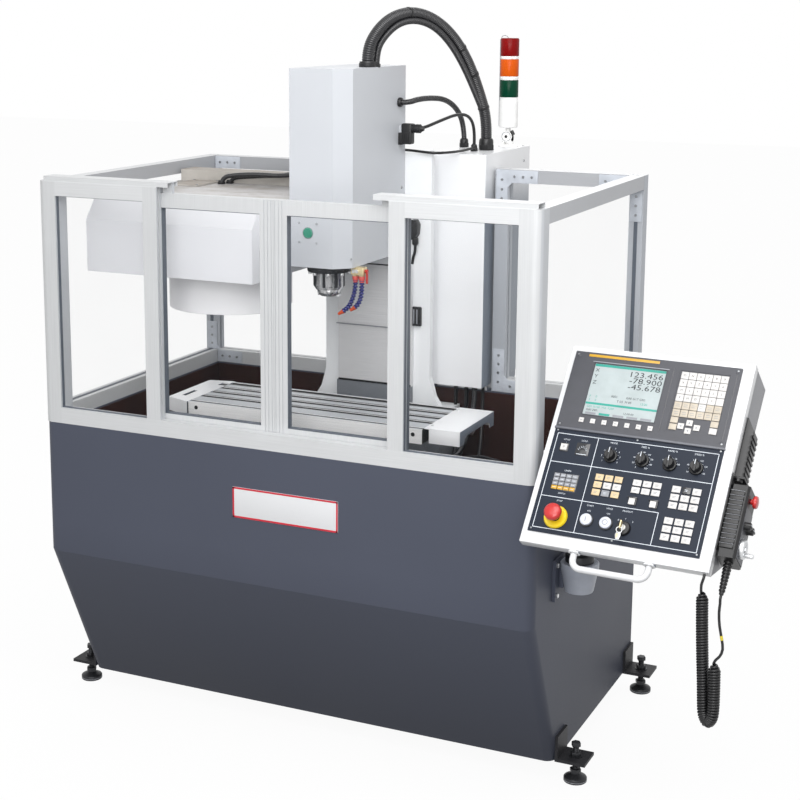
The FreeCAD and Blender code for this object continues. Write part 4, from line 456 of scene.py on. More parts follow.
# pieces: one mesh per piece, built in the millimetres of a plane
class Piece:
    def __init__(self, name, body, plane=machinePlane):
        self.name, self.body, self.plane = name, body, plane
        self.mesh, self.used = bmesh.new(), []

    def slot(self, finish):
        if finish not in self.used:
            self.used.append(finish)
        return self.used.index(finish)

    def spots(self, corners):
        return [self.mesh.verts.new(self.plane @ (Vector(c) / 1000)) for c in corners]

    def faces(self, verts, loops, finish):
        slot = self.slot(finish)
        for loop in loops:
            face = self.mesh.faces.new([verts[i] for i in loop])
            face.material_index, face.smooth = slot, True

    def block(self, low, high, finish, bevel=0.0, steps=2):
        (x0, y0, z0), (x1, y1, z1) = low, high
        verts = self.spots([(x, y, z) for z in (z0, z1) for y in (y0, y1) for x in (x0, x1)])
        self.faces(verts, [(0, 2, 3, 1), (4, 5, 7, 6), (0, 1, 5, 4), (2, 6, 7, 3), (0, 4, 6, 2),
                           (1, 3, 7, 5)], finish)
        if bevel:
            edges = list(dict.fromkeys(edge for vert in verts for edge in vert.link_edges))
            bmesh.ops.bevel(self.mesh, geom=edges, offset=bevel / 1000, segments=steps, profile=0.6,
                            affect="EDGES", clamp_overlap=True, material=self.slot(finish))
        return verts

    def turn(self, profile, centre, axis, sides, finish, spread=None, start=0.0):
        plane = Matrix.Translation(Vector(centre)) @ Vector(axis).to_track_quat("Z", "Y").to_matrix().to_4x4()
        rings = []
        for radius, height in profile:
            if radius < 1e-6:
                rings.append(self.spots([plane @ Vector((0, 0, height))]) * sides)
                continue
            angles = [start + 2 * math.pi * k / sides for k in range(sides)]
            reach = [radius * (spread(k, height) if spread else 1.0) for k in range(sides)]
            rings.append(self.spots([plane @ Vector((r * math.cos(a), r * math.sin(a), height))
                                     for r, a in zip(reach, angles)]))
        pick = finish if callable(finish) else lambda k: finish
        for low, high in zip(rings, rings[1:]):
            for k in range(sides):
                n = (k + 1) % sides
                corners = [low[k], low[n], high[n], high[k]]
                corners = [c for i, c in enumerate(corners) if c is not corners[i - 1]]
                if len(corners) > 2:
                    face = self.mesh.faces.new(corners)
                    face.material_index, face.smooth = self.slot(pick(k)), True

    def slab(self, outline, low, high, direction, finish, sides=None, bevel=0.0):
        # an outline in the two other directions, carried from low to high along x, y or z
        place = {"x": lambda u, v, w: (w, u, v), "y": lambda u, v, w: (u, w, v),
                 "z": lambda u, v, w: (u, v, w)}[direction]
        count = len(outline)
        verts = self.spots([place(u, v, w) for w in (low, high) for u, v in outline])
        made = []
        for loop, paint in [(range(count), finish), (range(2 * count - 1, count - 1, -1), finish)] + [
                ((i, i + count, (i + 1) % count + count, (i + 1) % count), (sides or {}).get(i, finish))
                for i in range(count)]:
            face = self.mesh.faces.new([verts[k] for k in loop])
            face.material_index, face.smooth = self.slot(paint), True
            made.append(face)
        bmesh.ops.recalc_face_normals(self.mesh, faces=made)
        if bevel:
            edges = list(dict.fromkeys(edge for vert in verts for edge in vert.link_edges))
            bmesh.ops.bevel(self.mesh, geom=edges, offset=bevel / 1000, segments=2, profile=0.6,
                            affect="EDGES", clamp_overlap=True, material=-1)

    def tube(self, line, radius, sides, finish):
        # line: world points; radius: millimetres, or a function of the distance along in millimetres
        turned = carried(line)
        rings, along = [], 0.0
        for i, (spot, side, across) in enumerate(turned):
            if i:
                along += (spot - turned[i - 1][0]).length * 1000
            r = (radius(along) if callable(radius) else radius) / 1000
            rings.append([self.mesh.verts.new(spot + (side * math.cos(a) + across * math.sin(a)) * r)
                          for a in [2 * math.pi * k / sides for k in range(sides)]])
        slot = self.slot(finish)
        loops = [[low[k], low[(k + 1) % sides], high[(k + 1) % sides], high[k]]
                 for low, high in zip(rings, rings[1:]) for k in range(sides)]
        for loop in loops + [rings[0][::-1], rings[-1]]:
            face = self.mesh.faces.new(loop)
            face.material_index, face.smooth = slot, True

    def label(self, words, spot, size, finish, align="CENTER", lift=0.0, squeeze=1.0):
        curve = bpy.data.curves.new("lettering", "FONT")
        curve.body, curve.size, curve.align_x, curve.align_y = words, size, align, "CENTER"
        curve.resolution_u = 2
        holder = bpy.data.objects.new("lettering", curve)
        flat = bpy.data.meshes.new_from_object(holder)
        x, y, z = spot
        verts = self.spots([(x + v.co.x * squeeze, y + v.co.y, z + lift) for v in flat.vertices])
        self.faces(verts, [tuple(p.vertices) for p in flat.polygons], finish)
        bpy.data.objects.remove(holder)
        bpy.data.curves.remove(curve)
        bpy.data.meshes.remove(flat)

    def sheet(self, low, high, height, finish):
        (x0, y0), (x1, y1) = low, high
        verts = self.spots([(x0, y0, height), (x1, y0, height), (x1, y1, height), (x0, y1, height)])
        self.faces(verts, [(0, 1, 2, 3)], finish)

    def make(self, *replaced, sharp=38.0):
        mesh = bpy.data.meshes.new(self.name)
        self.mesh.to_mesh(mesh)
        self.mesh.free()
        for finish in self.used:
            mesh.materials.append(finishes[finish])
        mesh.set_sharp_from_angle(angle=math.radians(sharp))
        made = bpy.data.objects.new(self.name, mesh)
        bpy.context.scene.collection.objects.link(made)
        if self.body:
            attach(made, self.body)
        if replaced:
            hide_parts(*replaced)
        return made


def carried(line):
    # each point of the line with two directions square to it, carried along without twist
    ahead = [(line[min(i + 1, len(line) - 1)] - line[max(i - 1, 0)]).normalized() for i in range(len(line))]
    side = ahead[0].orthogonal().normalized()
    turned = []
    for i, spot in enumerate(line):
        if i:
            side = ahead[i - 1].rotation_difference(ahead[i]) @ side
        side = (side - ahead[i] * side.dot(ahead[i])).normalized()
        turned.append((spot, side, ahead[i].cross(side)))
    return turned


def routeLine(points, resolution=16):
    # the points that a smooth route's own spline gives, in metres
    curve = bpy.data.curves.new("route", "CURVE")
    curve.dimensions, curve.resolution_u = "3D", resolution
    spline = curve.splines.new("NURBS")
    spline.points.add(len(points) - 1)
    for control, point in zip(spline.points, points):
        control.co = (*point, 1.0)
    spline.order_u = 3
    spline.use_endpoint_u = True
    holder = bpy.data.objects.new("route", curve)
    flat = bpy.data.meshes.new_from_object(holder)
    line = [v.co.copy() for v in flat.vertices]
    bpy.data.objects.remove(holder)
    bpy.data.curves.remove(curve)
    bpy.data.meshes.remove(flat)
    return line


def paced(line, step):
    # the same line in even steps, for ribs and links
    marks = [0.0]
    for a, b in zip(line, line[1:]):
        marks.append(marks[-1] + (b - a).length)
    count = max(2, round(marks[-1] / step))
    spots, j = [], 0
    for i in range(count + 1):
        want = marks[-1] * i / count
        while j < len(line) - 2 and marks[j + 1] < want:
            j += 1
        share = (want - marks[j]) / max(marks[j + 1] - marks[j], 1e-9)
        spots.append(line[j].lerp(line[j + 1], min(max(share, 0.0), 1.0)))
    return spots, marks[-1]


# conduits from the head to the cabinet
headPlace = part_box("head_cover")
conduits = dict(
    big=dict(pitch=5.6, radius=16.4, dip=1.5, sides=26, samples=4, finish="conduit",
             points=[(722, 512, 1805.3), (722, 512, 1840), (733, 550, 1888), (752, 606, 1924),
                     (779, 680, 1938), (809, 760, 1920), (838, 834, 1872), (863, 893, 1798),
                     (884, 936, 1702), (897, 959, 1630), (897, 959, 1575)]),
    companion=dict(pitch=3.6, radius=9.2, dip=0.9, sides=18, samples=4, finish="conduit",
                   points=[(738, 533, 1790), (738, 533, 1834), (748, 566, 1874), (768, 616, 1908),
                           (790, 682, 1916), (814, 752, 1898), (836, 818, 1852), (857, 874, 1784),
                           (878, 922, 1700), (893, 953, 1640), (896, 957, 1600)]),
    second=dict(pitch=3.4, radius=8.0, dip=0.9, sides=16, samples=4, finish="conduit",
                points=[(754.3, 668, 1690), (776, 668, 1690), (783, 716, 1697), (788, 800, 1697),
                        (793, 884, 1690), (798, 950, 1668), (800, 1000, 1634), (800, 1024, 1594),
                        (801, 1026, 1567)]),
    thin=dict(pitch=0.0, radius=4.5, dip=0.0, sides=12, samples=1, finish="rubber",
              points=[(791, 675.6, 1618), (813, 675.6, 1618), (838, 740, 1636), (862, 816, 1653),
                      (876, 872, 1646), (881, 906, 1608), (878, 911, 1561)]),
)


def ripple(along, pitch):
    return (0.5 - 0.5 * math.cos(2 * math.pi * along / pitch)) ** 2


conduitSet = Piece("headConduitSet", None)
for name, route in conduits.items():
    line = routeLine([at(*p) for p in route["points"]])
    if route["pitch"]:
        line, length = paced(line, route["pitch"] / route["samples"] / 1000)
        radius = lambda s, r=route: r["radius"] - r["dip"] * ripple(s, r["pitch"])
    else:
        line, length = paced(line, 0.006)
        radius = route["radius"]
    conduitSet.tube(line, radius, route["sides"], route["finish"])
    print("conduit", name, "length", round(length * 1000))
conduitPiece = conduitSet.make("head_conduits", sharp=60.0)
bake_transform(conduitPiece)

# ties along the big conduit
ties = dict(width=6.0, radius=17.3, spots=(0.30, 0.62, 0.74, 0.88))
bigLine = paced(routeLine([at(*p) for p in conduits["big"]["points"]]), 0.001)[0]


# coolant hoses of linked blue segments
manifoldDrop = 32.0
hoseTop = (headPlace[0].z - floorCorner.z) * 1000 - manifoldDrop
hoses = dict(pitch=8.6, radius=7.3, neck=3.6, sides=18, samples=8, tip=19.0)
hoseRoutes = [
    [(741, 400, hoseTop), (741, 400, hoseTop - 22), (735, 398, hoseTop - 54), (719, 397, hoseTop - 86),
     (692, 396, hoseTop - 101)],
    [(760, 400, hoseTop), (760, 400, hoseTop - 24), (759, 398, hoseTop - 50), (748, 397, hoseTop - 76),
     (728, 396, hoseTop - 88)],
]


def linkRadius(s):
    u = (s / hoses["pitch"]) % 1.0
    swell = math.sqrt(max(0.0, 1 - ((u - 0.62) / 0.38) ** 2)) if u > 0.24 else 0.0
    return hoses["neck"] + (hoses["radius"] - hoses["neck"]) * swell


hoseSet = Piece("coolant_hose_links", "head")
for route in hoseRoutes:
    line, length = paced(routeLine([at(*p) for p in route]), hoses["pitch"] / hoses["samples"] / 1000)
    tipStart = len(line) - round(hoses["tip"] / hoses["pitch"] * hoses["samples"])
    hoseSet.tube(line[:tipStart + 1], linkRadius, hoses["sides"], "hoseBlue")
    tip, reach = line[tipStart:], hoses["tip"]
    hoseSet.tube(tip, lambda s: 6.3 if s < 6 else (5.2 if s < 8 else 5.0 - 2.0 * (s - 8) / reach),
                 hoses["sides"], "tipOrange")
hoseSet.make("coolant_hoses", sharp=50.0)

# curly lead of the handwheel unit: one smooth route, its middle wound into curls
lead = dict(
    wire=3.05, curl=10.6, pitch=6.4, openPitch=3.7, openReach=26.0, ends=14,
    before=[(1834, -156, 726)],
    spine=[(1836, -149, 706), (1837.5, -148.2, 650), (1841.5, -146.5, 566), (1845.5, -145.3, 500),
           (1848, -144.6, 446), (1850, -145.2, 424), (1860.6, -150.7, 408.5), (1871.4, -156.2, 424),
           (1873.6, -157, 446), (1873, -157, 500), (1871.6, -157, 550)],
    after=[(1873, -158.5, 561), (1882, -157.5, 569), (1888.5, -156, 586), (1884, -155, 610),
           (1877, -153.5, 638), (1874, -151, 668), (1876, -149.5, 690)],
)
leadExit = onPanel(415, -490, -13)
reliefTip = onPanel(451, -519, -45)
downPanel = (onPanel(0, -1, 0) - onPanel(0, 0, 0)).normalized()


def coiledLine():
    spine, length = paced(routeLine([at(*p) for p in lead["spine"]], 24), 0.001)
    middle = min(range(len(spine)), key=lambda i: spine[i].z)
    turned, line, angle = carried(spine), [], 0.0
    for i, (spot, side, across) in enumerate(turned):
        away = abs(i - middle)
        opened = min(1.0, max(0.0, 1.6 - 1.6 * away / lead["openReach"]))
        pitch = lead["pitch"] + (lead["openPitch"] - lead["pitch"]) * opened
        grow = min(1.0, i / lead["ends"], (len(turned) - 1 - i) / lead["ends"])
        line.append((spot, side, across, angle, grow))
        angle += 2 * math.pi / pitch
    return line


def leadPoints():
    line = coiledLine()
    points = [leadExit - downPanel * 0.0003,
              leadExit + downPanel * 0.012] + [at(*p) for p in lead["before"]]
    step = math.pi / 6
    count = int(line[-1][3] / step)
    j = 0
    for k in range(count):
        want = (k + 0.5) * step
        while j < len(line) - 2 and line[j + 1][3] < want:
            j += 1
        share = (want - line[j][3]) / max(line[j + 1][3] - line[j][3], 1e-9)
        spot, side = line[j][0].lerp(line[j + 1][0], share), line[j][1]
        # the spline cuts inside its points, so the curls stand a little further out
        reach = lead["curl"] * (0.25 + 0.75 * line[j][4]) / 1000 * 1.035
        points.append(spot + (side * math.cos(want) + line[j][2] * math.sin(want)) * reach)
    points += [at(*p) for p in lead["after"]]
    return points + [reliefTip + downPanel * 0.012, reliefTip - downPanel * 0.0003]


leadLine = routeLine(leadPoints(), 2)
leadLength = sum((b - a).length for a, b in zip(leadLine, leadLine[1:]))
print("curly lead:", round(leadLength, 3), "m,", len(leadLine), "points")
leadSet = Piece("curly_lead", "control_panel")
leadSet.tube(leadLine, lead["wire"], 10, "rubber")
leadPiece = leadSet.make("pendant_cord", sharp=80.0)

tag = Piece("lead_tag", "control_panel")
tagLine = routeLine([at(*p) for p in lead["after"]])
near = min(range(len(tagLine)), key=lambda i: (tagLine[i] - at(1883, -155, 611)).length)
tag.tube(tagLine[near - 3:near + 5], 3.3, 12, "tagYellow")
tagPiece = tag.make()

# panel face: screen, keys, printed lines and words
face = Piece("display_face", "control_panel", panelPlane)
face.sheet((54.2, -159.8), (227.8, -26.2), 3.2, "screenPale")
face.sheet((55, -33.5), (227, -27), 3.4, "screenTeal")
face.sheet((55, -132.5), (227, -127), 3.4, "screenTeal")
for i, (letter, value) in enumerate((("X", "123.456"), ("Y", "-78.900"), ("Z", "-45.678"))):
    row = -45.5 - 16.0 * i
    face.label(letter, (63, row + 2, 3.5), 13.0, "printDark", squeeze=1.1)
    face.label(value, (224, row, 3.5), 19.5, "printDark", "RIGHT", squeeze=1.34)
for x, row, words, size, finish in (
        (60, -112, "F     0", 8.0, "screenTeal"), (60, -121, "S     0", 8.0, "screenTeal"),
        (112, -107, "0001", 8.0, "printDark"), (148, -107, "G00 G17 G90", 8.0, "printDark"),
        (128, -118, "T 03  M 05", 8.0, "printDark"), (184, -118, "12:30", 8.0, "screenTeal"),
        (60, -138.5, "G01 X100. Y50. F200", 7.5, "screenTeal"), (60, -147, "G00 Z80.", 7.5, "printDark"),
        (150, -147, "12:00:00", 7.5, "printDark")):
    face.label(words, (x, row, 3.5), size, finish, "LEFT")
for i in range(5):
    face.block((60 + i * 33.5, -158, 3.2), (86 + i * 33.5, -152.5, 3.5),
               "screenTeal" if i == 1 else "keyGrey")
face.block((34, -11.5, 6), (207, -5, 6.7), "stripGold", 0.3)
# a pale grey bar along the bezel's top edge; its colour is a painted highlight of that edge
face.block((48, -24.6, 6), (234, -22.2, 7.2), "keyGrey", 0.4)
for x0, x1, t0, t1 in ((51, 53.6, -162.5, -23.5), (228.4, 230.6, -162.5, -23.5),
                       (51, 230.6, -162.6, -160.4)):
    face.block((x0, t0, 5.9), (x1, t1, 6.9), "unit", 0.3)
face.block((-2, -204.5, 1), (402, -199, 7.6), "unitLip", 1.6)
for x in (10, 390):
    for t in (-12, -188):
        face.turn([(0, 5.9), (3.4, 5.9), (3.4, 6.7), (2.8, 7.1), (0, 7.1)], (x, t, 0), alongZ, 18, "unit")
face.block((244, -183, 5.9), (245, -17, 6.15), "darkGlass")
face.block((391, -183, 5.9), (392, -17, 6.15), "darkGlass")
face.make()

keys = Piece("key_caps", "control_panel", panelPlane)
keyText = Piece("key_marks", "control_panel", panelPlane)


def cap(x, t, wide, high, base, finish, tall=2.6, mark="", size=4.2, ink="printDark"):
    keys.block((x - wide / 2, t - high / 2, base), (x + wide / 2, t + high / 2, base + tall), finish, 0.7)
    if mark:
        keyText.label(mark, (x, t, base + tall + 0.08), size, ink)


pad = dict(x=264.0, t=-24.0, arrows=(309.5, -160.5), dx=18.55, dt=19.1, wide=17.4, high=17.8, base=5.0)
marks = ["O N G 7 8 9", "X Y Z 4 5 6", "M S T 1 2 3", "F H D - 0 .", "a b c d e f", "g h i j k m"]
for row in range(6):
    for column in range(6):
        finish = "keyWhite" if row < 4 or (row == 4 and column == 3) else "keyBeige"
        mark = marks[row].split()[column] if row < 4 else ""
        cap(pad["x"] + pad["dx"] * (column + 0.5), pad["t"] - pad["dt"] * (row + 0.5), pad["wide"],
            pad["high"], pad["base"], finish, mark=mark, size=7.5, ink="printDark")
        if row >= 4:
            x, t = pad["x"] + pad["dx"] * (column + 0.5), pad["t"] - pad["dt"] * (row + 0.5)
            for line in (2.4, -2.4):
                keyText.sheet((x - 4.5, t + line - 0.5), (x + 4.5, t + line + 0.5), pad["base"] + 2.68,
                              "keyGrey")
for column, finish, rows in ((0, "keyBeige", (6, 7)), (5, "keyBeige", (6,)), (5, "keyWhite", (7,))):
    for row in rows:
        cap(pad["x"] + pad["dx"] * (column + 0.5), pad["t"] - 19.1 * 6 - 17.0 * (row - 5.5), pad["wide"],
            14.6, pad["base"], finish)
for dx, dt in ((0, 10.0), (0, -10.0), (-18.5, 0.0), (18.5, 0.0)):
    x, t = pad["arrows"][0] + dx, pad["arrows"][1] + dt
    cap(x, t, 14.4, 14.0, pad["base"], "keyWhite")
    turn = math.atan2(dt, dx)
    arrow = [(x + 3.2 * math.cos(turn + a), t + 3.2 * math.sin(turn + a),
              pad["base"] + 2.7) for a in (0, 2.3, -2.3)]
    keyText.faces(keyText.spots(arrow), [(0, 1, 2)], "keyGrey")
for i in range(7):
    cap(57.5 + 27.6 * i, -176.5, 11.6, 11.6, 6.0, "keyWhite", 2.2)
    keyText.sheet((55 + 27.6 * i, -177.1), (60 + 27.6 * i, -175.9), 8.3, "keyGrey")

blocks = (
    dict(x=(124, 192), t=(-301, -357), rows=(("keyTan",) * 3, ("keyTan", "keyWhite", "keyWhite"),
                                             ("keyTan", "keyGrey", "keyTan"))),
    dict(x=(213, 283), t=(-302, -338), rows=(("keyWhite",) * 3, ("keyWhite",) * 3)),
    dict(x=(304, 374), t=(-303, -361), rows=(("keyWhite", "darkGlass", "keyWhite"), ("keyWhite",) * 3,
                                             ("keyWhite",) * 3)),
    dict(x=(303, 375), t=(-379, -437), rows=(("keyWhite",) * 3,) * 3),
)
for block in blocks:
    (x0, x1), (t0, t1) = block["x"], block["t"]
    dx, dt = (x1 - x0) / 3, (t1 - t0) / len(block["rows"])
    for row, names in enumerate(block["rows"]):
        for column, finish in enumerate(names):
            x, t = x0 + dx * (column + 0.5), t0 + dt * (row + 0.5)
            cap(x, t, abs(dx) * 0.82, abs(dt) * 0.8, 3.0, finish, 2.8)
            ink = "printWhite" if finish in ("darkGlass", "keyGrey") else "keyGrey"
            keyText.sheet((x - 4.2, t + 0.9), (x + 3.4, t + 1.9), 5.9, ink)
            keyText.sheet((x - 4.2, t - 2.0), (x + 1.6, t - 1.0), 5.9, ink)
for x, t in ((223, -356), (272, -356)):
    cap(x, t - 1, 14.5, 15, 3.0, "keyWhite", 4.6)
    for low, high in (((x - 11, t + 6.8, 3), (x + 11, t + 9.6, 8.4)),
                      ((x + 8.4, t - 10, 3), (x + 11, t + 9.6, 7.4))):
        keys.block(low, high, "darkGlass", 0.6)
cap(33, -249, 15.5, 15.5, 3.0, "keyWhite", 4.2, "0", 8.0)
keys.block((22.5, -259.5, 3), (43.5, -238.5, 4.6), "darkGlass", 0.6)
for row in range(4):
    for column in range(4):
        x, t = 35.2 + 14.5 * column, -319.2 - 10.3 * row
        keys.block((x - 6.4, t - 4.4, 3.4), (x + 6.4, t + 4.4, 5.4),
                   "stripGold" if row == 3 else "keyGrey", 0.5)
        keyText.sheet((x - 3.8, t - 0.4), (x + 3.8, t + 0.6), 5.5, "printWhite")
keys.block((27, -356.5, 2.9), (87, -313, 3.6), "darkGlass", 0.3)
keys.make("panel_keys")
keyText.make()

# printed lines, words and the meter window of the operator plate
sheetPrint = Piece("plate_print", "control_panel", panelPlane)
ink = dict(level=3.12, width=1.5)


def rule(x0, t0, x1, t1):
    half = ink["width"] / 2
    low = (min(x0, x1) - half, min(t0, t1) - half)
    high = (max(x0, x1) + half, max(t0, t1) + half)
    sheetPrint.sheet(low, high, ink["level"], "printWhite")


for line in ((9.5, -215, 391, -215), (9.5, -451, 391, -451), (9.5, -215, 9.5, -451), (391, -215, 391, -451),
             (9.5, -287, 391, -287), (109, -215, 109, -451), (9.5, -373, 288, -373),
             (288, -373, 288, -451)):
    rule(*line)
sheetPrint.block((62, -264, 3), (94, -233, 3.9), "darkGlass", 0.4)
sheetPrint.sheet((66, -262), (90, -260.5), 4.0, "printWhite")
for i in range(7):
    tilt = math.radians(150 - 20 * i)
    for reach in (10.0, 12.5):
        x, t = 78 + reach * math.cos(tilt), -257 + reach * 1.3 * math.sin(tilt)
        sheetPrint.sheet((x - 0.7, t - 0.7), (x + 0.7, t + 0.7), 4.0, "printWhite")
dialRow = -256.0
dials = dict(
    mode=dict(x=148, reach=22.0, marks=("1", "2", "3", "4", "5", "6", "7", "8"), span=(215, -35),
              word="MODE"),
    feed=dict(x=223, reach=21.0, marks=("0", "20", "40", "60", "80", "100", "120", "140", "150"),
              span=(235, -55), word="FEED %"),
    rapid=dict(x=287, reach=19.0, marks=("F0", "25", "50", "100"), span=(150, 10), word="RAPID %"),
    speed=dict(x=348, reach=21.0, marks=("50", "60", "80", "100", "110", "120"), span=(210, -30),
               word="SPEED %"),
)
for dial in dials.values():
    centre = (dial["x"], dialRow)
    first, last = dial["span"]
    count = len(dial["marks"])
    for i, mark in enumerate(dial["marks"]):
        turn = math.radians(first + (last - first) * i / (count - 1))
        x, t = centre[0] + dial["reach"] * math.cos(turn), centre[1] + dial["reach"] * math.sin(turn)
        sheetPrint.label(mark, (x, t, ink["level"]), 5.4, "printWhite")
        if i < count - 1:
            between = math.radians(first + (last - first) * (i + 0.5) / (count - 1))
            spot = (centre[0] + 17 * math.cos(between), centre[1] + 17 * math.sin(between))
            sheetPrint.sheet((spot[0] - 0.6, spot[1] - 0.6), (spot[0] + 0.6, spot[1] + 0.6), ink["level"],
                             "printWhite")
    sheetPrint.label(dial["word"], (dial["x"], -222.5, ink["level"]), 6.0, "printWhite")
for words, x, t, size in (("CYCLE", 35, -229, 5.0), ("LOAD", 78, -227, 5.5), ("1", 35, -236, 4.5),
                          ("LAMPS", 57, -306, 5.5), ("STATUS", 57, -362.5, 5.0), ("STOP", 57, -381, 5.5),
                          ("START", 131, -381.5, 5.5), ("HOLD", 177, -381.5, 5.5), ("ON", 131, -394, 5.0),
                          ("OFF", 177, -394, 5.0), ("PROTECT", 219, -381.5, 5.5), ("0", 203, -404, 6.0),
                          ("1", 219, -399, 6.0), ("2", 236, -404, 6.0)):
    sheetPrint.label(words, (x, t, ink["level"]), size, "printWhite")
sheetPrint.make()


# knobs, buttons and the key, each on its own body
def flutes(count, depth):
    return lambda k, height: 1.0 - depth * (k % 2) if height > 6.0 else 1.0


for name, dial in dials.items():
    x, t = dial["x"], dialRow
    knob = Piece(name + "_dial", name + "_selector", panelPlane)
    knob.turn([(0, 3.3), (16.2, 3.3), (16.4, 4.4), (15.6, 7.4), (12.6, 8.2), (11.6, 20.6), (10.6, 22.2),
               (0, 22.2)],
              (x, t, 0), alongZ, 36, "black", flutes(36, 0.07))
    knob.block((x - 3.6, t - 14.0, 7.6), (x + 3.6, t + 14.4, 24.2), "black", 1.6)
    knob.block((x - 0.8, t + 2, 24.0), (x + 0.8, t + 13.4, 24.5), "printWhite")
    knob.block((x - 0.8, t + 14.2, 9), (x + 0.8, t + 14.7, 24.2), "printWhite")
    knob.make(name + "_knob")

stop = Piece("stop_mushroom", "panel_stop", panelPlane)
stop.turn([(0, 6.4), (9, 6.4), (9, 19), (15.5, 20.5), (19.2, 23.5), (20.4, 27), (20.4, 31), (19.4, 34.5),
           (16, 37.4), (9, 39.2), (0, 39.8)], (58, -418.7, 0), alongZ, 48, "stopRed")
stop.make("emergency_stop")
collar = Piece("stop_collar", "control_panel", panelPlane)
collar.turn([(12.2, 5.7), (27.4, 3.05), (28, 4.2), (26, 8.4), (12.2, 8.6)], (58, -421.0, 0), alongZ, 48,
            "stopYellow")
collar.make()
for name, body, node, x, t in (("start", "panel_start", "start_button", 131, -417),
                               ("hold", "panel_hold", "stop_button", 177, -417.7)):
    button = Piece(name + "_cap", body, panelPlane)
    button.turn([(0, 9.6), (12.5, 9.6), (12.5, 6.6), (13.6, 6.6), (13.6, 11.0), (12.6, 12.2), (9.5, 12.9),
                 (0, 13.3)],
                (x, t, 0), alongZ, 40, "buttonPale")
    if name == "start":
        button.block((x - 0.9, t - 5.4, 12.9), (x + 0.9, t + 5.4, 13.5), "keyGrey", 0.2)
    else:
        button.turn([(5.0, 12.9), (6.6, 12.9), (6.6, 13.45), (5.0, 13.45), (5.0, 12.9)], (x, t, 0), alongZ,
                    28, "keyGrey")
    button.make(node)
    ring = Piece(name + "_ring", "control_panel", panelPlane)
    ring.turn([(13.9, 3.02), (16.4, 3.02), (16.2, 5.6), (15.4, 6.4), (14.0, 6.4), (13.9, 3.02)], (x, t, 0),
              alongZ, 40, "darkGlass")
    ring.make()
keySpot = (219, -423, 0)
lock = Piece("key_barrel", "panel_key", panelPlane)
lock.turn([(0, 2.9), (7.2, 2.9), (7.2, 12.5), (6.4, 13.4), (0, 13.4)], keySpot, alongZ, 32, "zinc")
lock.block((217.9, -425.6, 13.2), (220.1, -420.4, 21), "zinc", 0.4)
lock.block((217.2, -432, 19), (220.8, -413, 33), "brass", 3.0)
lock.turn([(5.6, -0.8), (7.2, -0.8), (7.2, 0.8), (5.6, 0.8), (5.6, -0.8)], (219, -436, 30), (0.5, 0, 1),
          24, "zinc")
lock.slab([(214, -441), (223, -441), (225, -448), (223, -458), (215, -458), (212, -448)], 27.5, 29.5, "z",
          "zinc", bevel=0.6)
lock.block((215, -455, 29.4), (222, -445, 29.9), "brass", 0.4)
lock.make("key_switch")
lockRing = Piece("key_ring_plate", "control_panel", panelPlane)
lockRing.turn([(7.6, 6.02), (17, 3.02), (17, 6.6), (15, 10.4), (12.6, 11.4), (7.6, 11.8)], keySpot, alongZ,
              36, "black")
lockRing.make()

# handwheel unit
unit = dict(x0=430.0, x1=472.0, t0=-275.0, t1=-445.0, wheel=(472, -412, -38), stop=(472, -300, -38),
            relief=(451, -443, -45), dialSide=-362)
grip = Piece("unit_grips", "control_panel", panelPlane)
pitch = (unit["t0"] - unit["t1"] - 34) / 12
for i in range(12):
    t = unit["t0"] - 20 - pitch * i
    grip.block((unit["x0"] + 2, t - 4.6, -9.6), (unit["x1"] - 9, t + 4.6, -6.2), "rubber", 1.6)
    grip.block((unit["x0"] + 1.2, t + 5.3, -8.3), (unit["x1"] - 9, t + 6.1, -6.9), "keyGrey")
grip.block((427.6, -430, -88), (429.9, -250, -4), "black", 0.8)
grip.block((426.5, -256, -70), (452, -250.5, -20), "black", 1.2)
for x, t, n in ((437, -262, -30), (443, -262, -58)):
    grip.turn([(0, 0), (9, 0), (10, 5), (8, 12), (0, 13)], (x, t, n), alongY, 24, "rubber")
grip.block((472, -440, -76), (473.2, -320, -14), "unit", 0.5)
for t, n in ((unit["dialSide"], -27), (unit["dialSide"], -56)):
    grip.turn([(0, 12), (10.2, 12), (10.2, 14.2), (8.6, 15), (8.4, 27), (7.4, 28), (0, 28)], (460, t, n),
              alongX, 28, "black", flutes(28, 0.08))
    grip.block((473.5, t - 2.2, n - 10), (489.5, t + 2.2, n + 10.5), "rubber", 1.0)
    grip.block((489.3, t - 0.6, n + 2), (489.9, t + 0.6, n + 10), "printWhite")
for mark in range(20):
    a = 2 * math.pi * mark / 20
    t, n = unit["wheel"][1] + 24.5 * math.sin(a), unit["wheel"][2] + 24.5 * math.cos(a)
    grip.block((473.1, t - 0.5, n - 0.5), (473.45, t + 0.5, n + 0.5), "printWhite")
grip.make()
relief = Piece("unit_relief", "control_panel", panelPlane)
# the neck between the rubber ribs is pale grey; this also stands in for the highlights between the glossy
# ribs, as painted highlight
relief.turn([(0, -2), (7.0, -2), (4.2, 72), (4.0, 75), (0, 75)], unit["relief"], againstY, 22, "keyGrey")
for i in range(9):
    h, r = 8.0 * i, 10.4 - 0.42 * i
    relief.turn([(r - 4, h - 0.2), (r - 0.3, h), (r, h + 0.5), (r, h + 4.2), (r - 0.3, h + 4.7),
                 (r - 4, h + 4.9)],
                unit["relief"], againstY, 28, "rubber")
relief.make()
wheel = Piece("unit_handwheel", "unit_wheel", panelPlane)
wheel.turn([(0, 0.6), (19, 0.6), (21.6, 2), (22.2, 5), (22.2, 8.6), (20.6, 11.4), (16.5, 12.2), (15, 9.8),
            (6.5, 9.6), (6, 12.6), (0, 13)], unit["wheel"], alongX, 48, "zinc", flutes(48, 0.02))
wheel.turn([(0, 10), (3.6, 10), (4.0, 12.5), (5.6, 16), (5.2, 29), (3.8, 31.4), (0, 31.8)],
           (472, -425, -38), alongX, 24, "zinc")
wheel.make("pendant_handwheel")
unitStop = Piece("unit_stop_cap", "unit_stop", panelPlane)
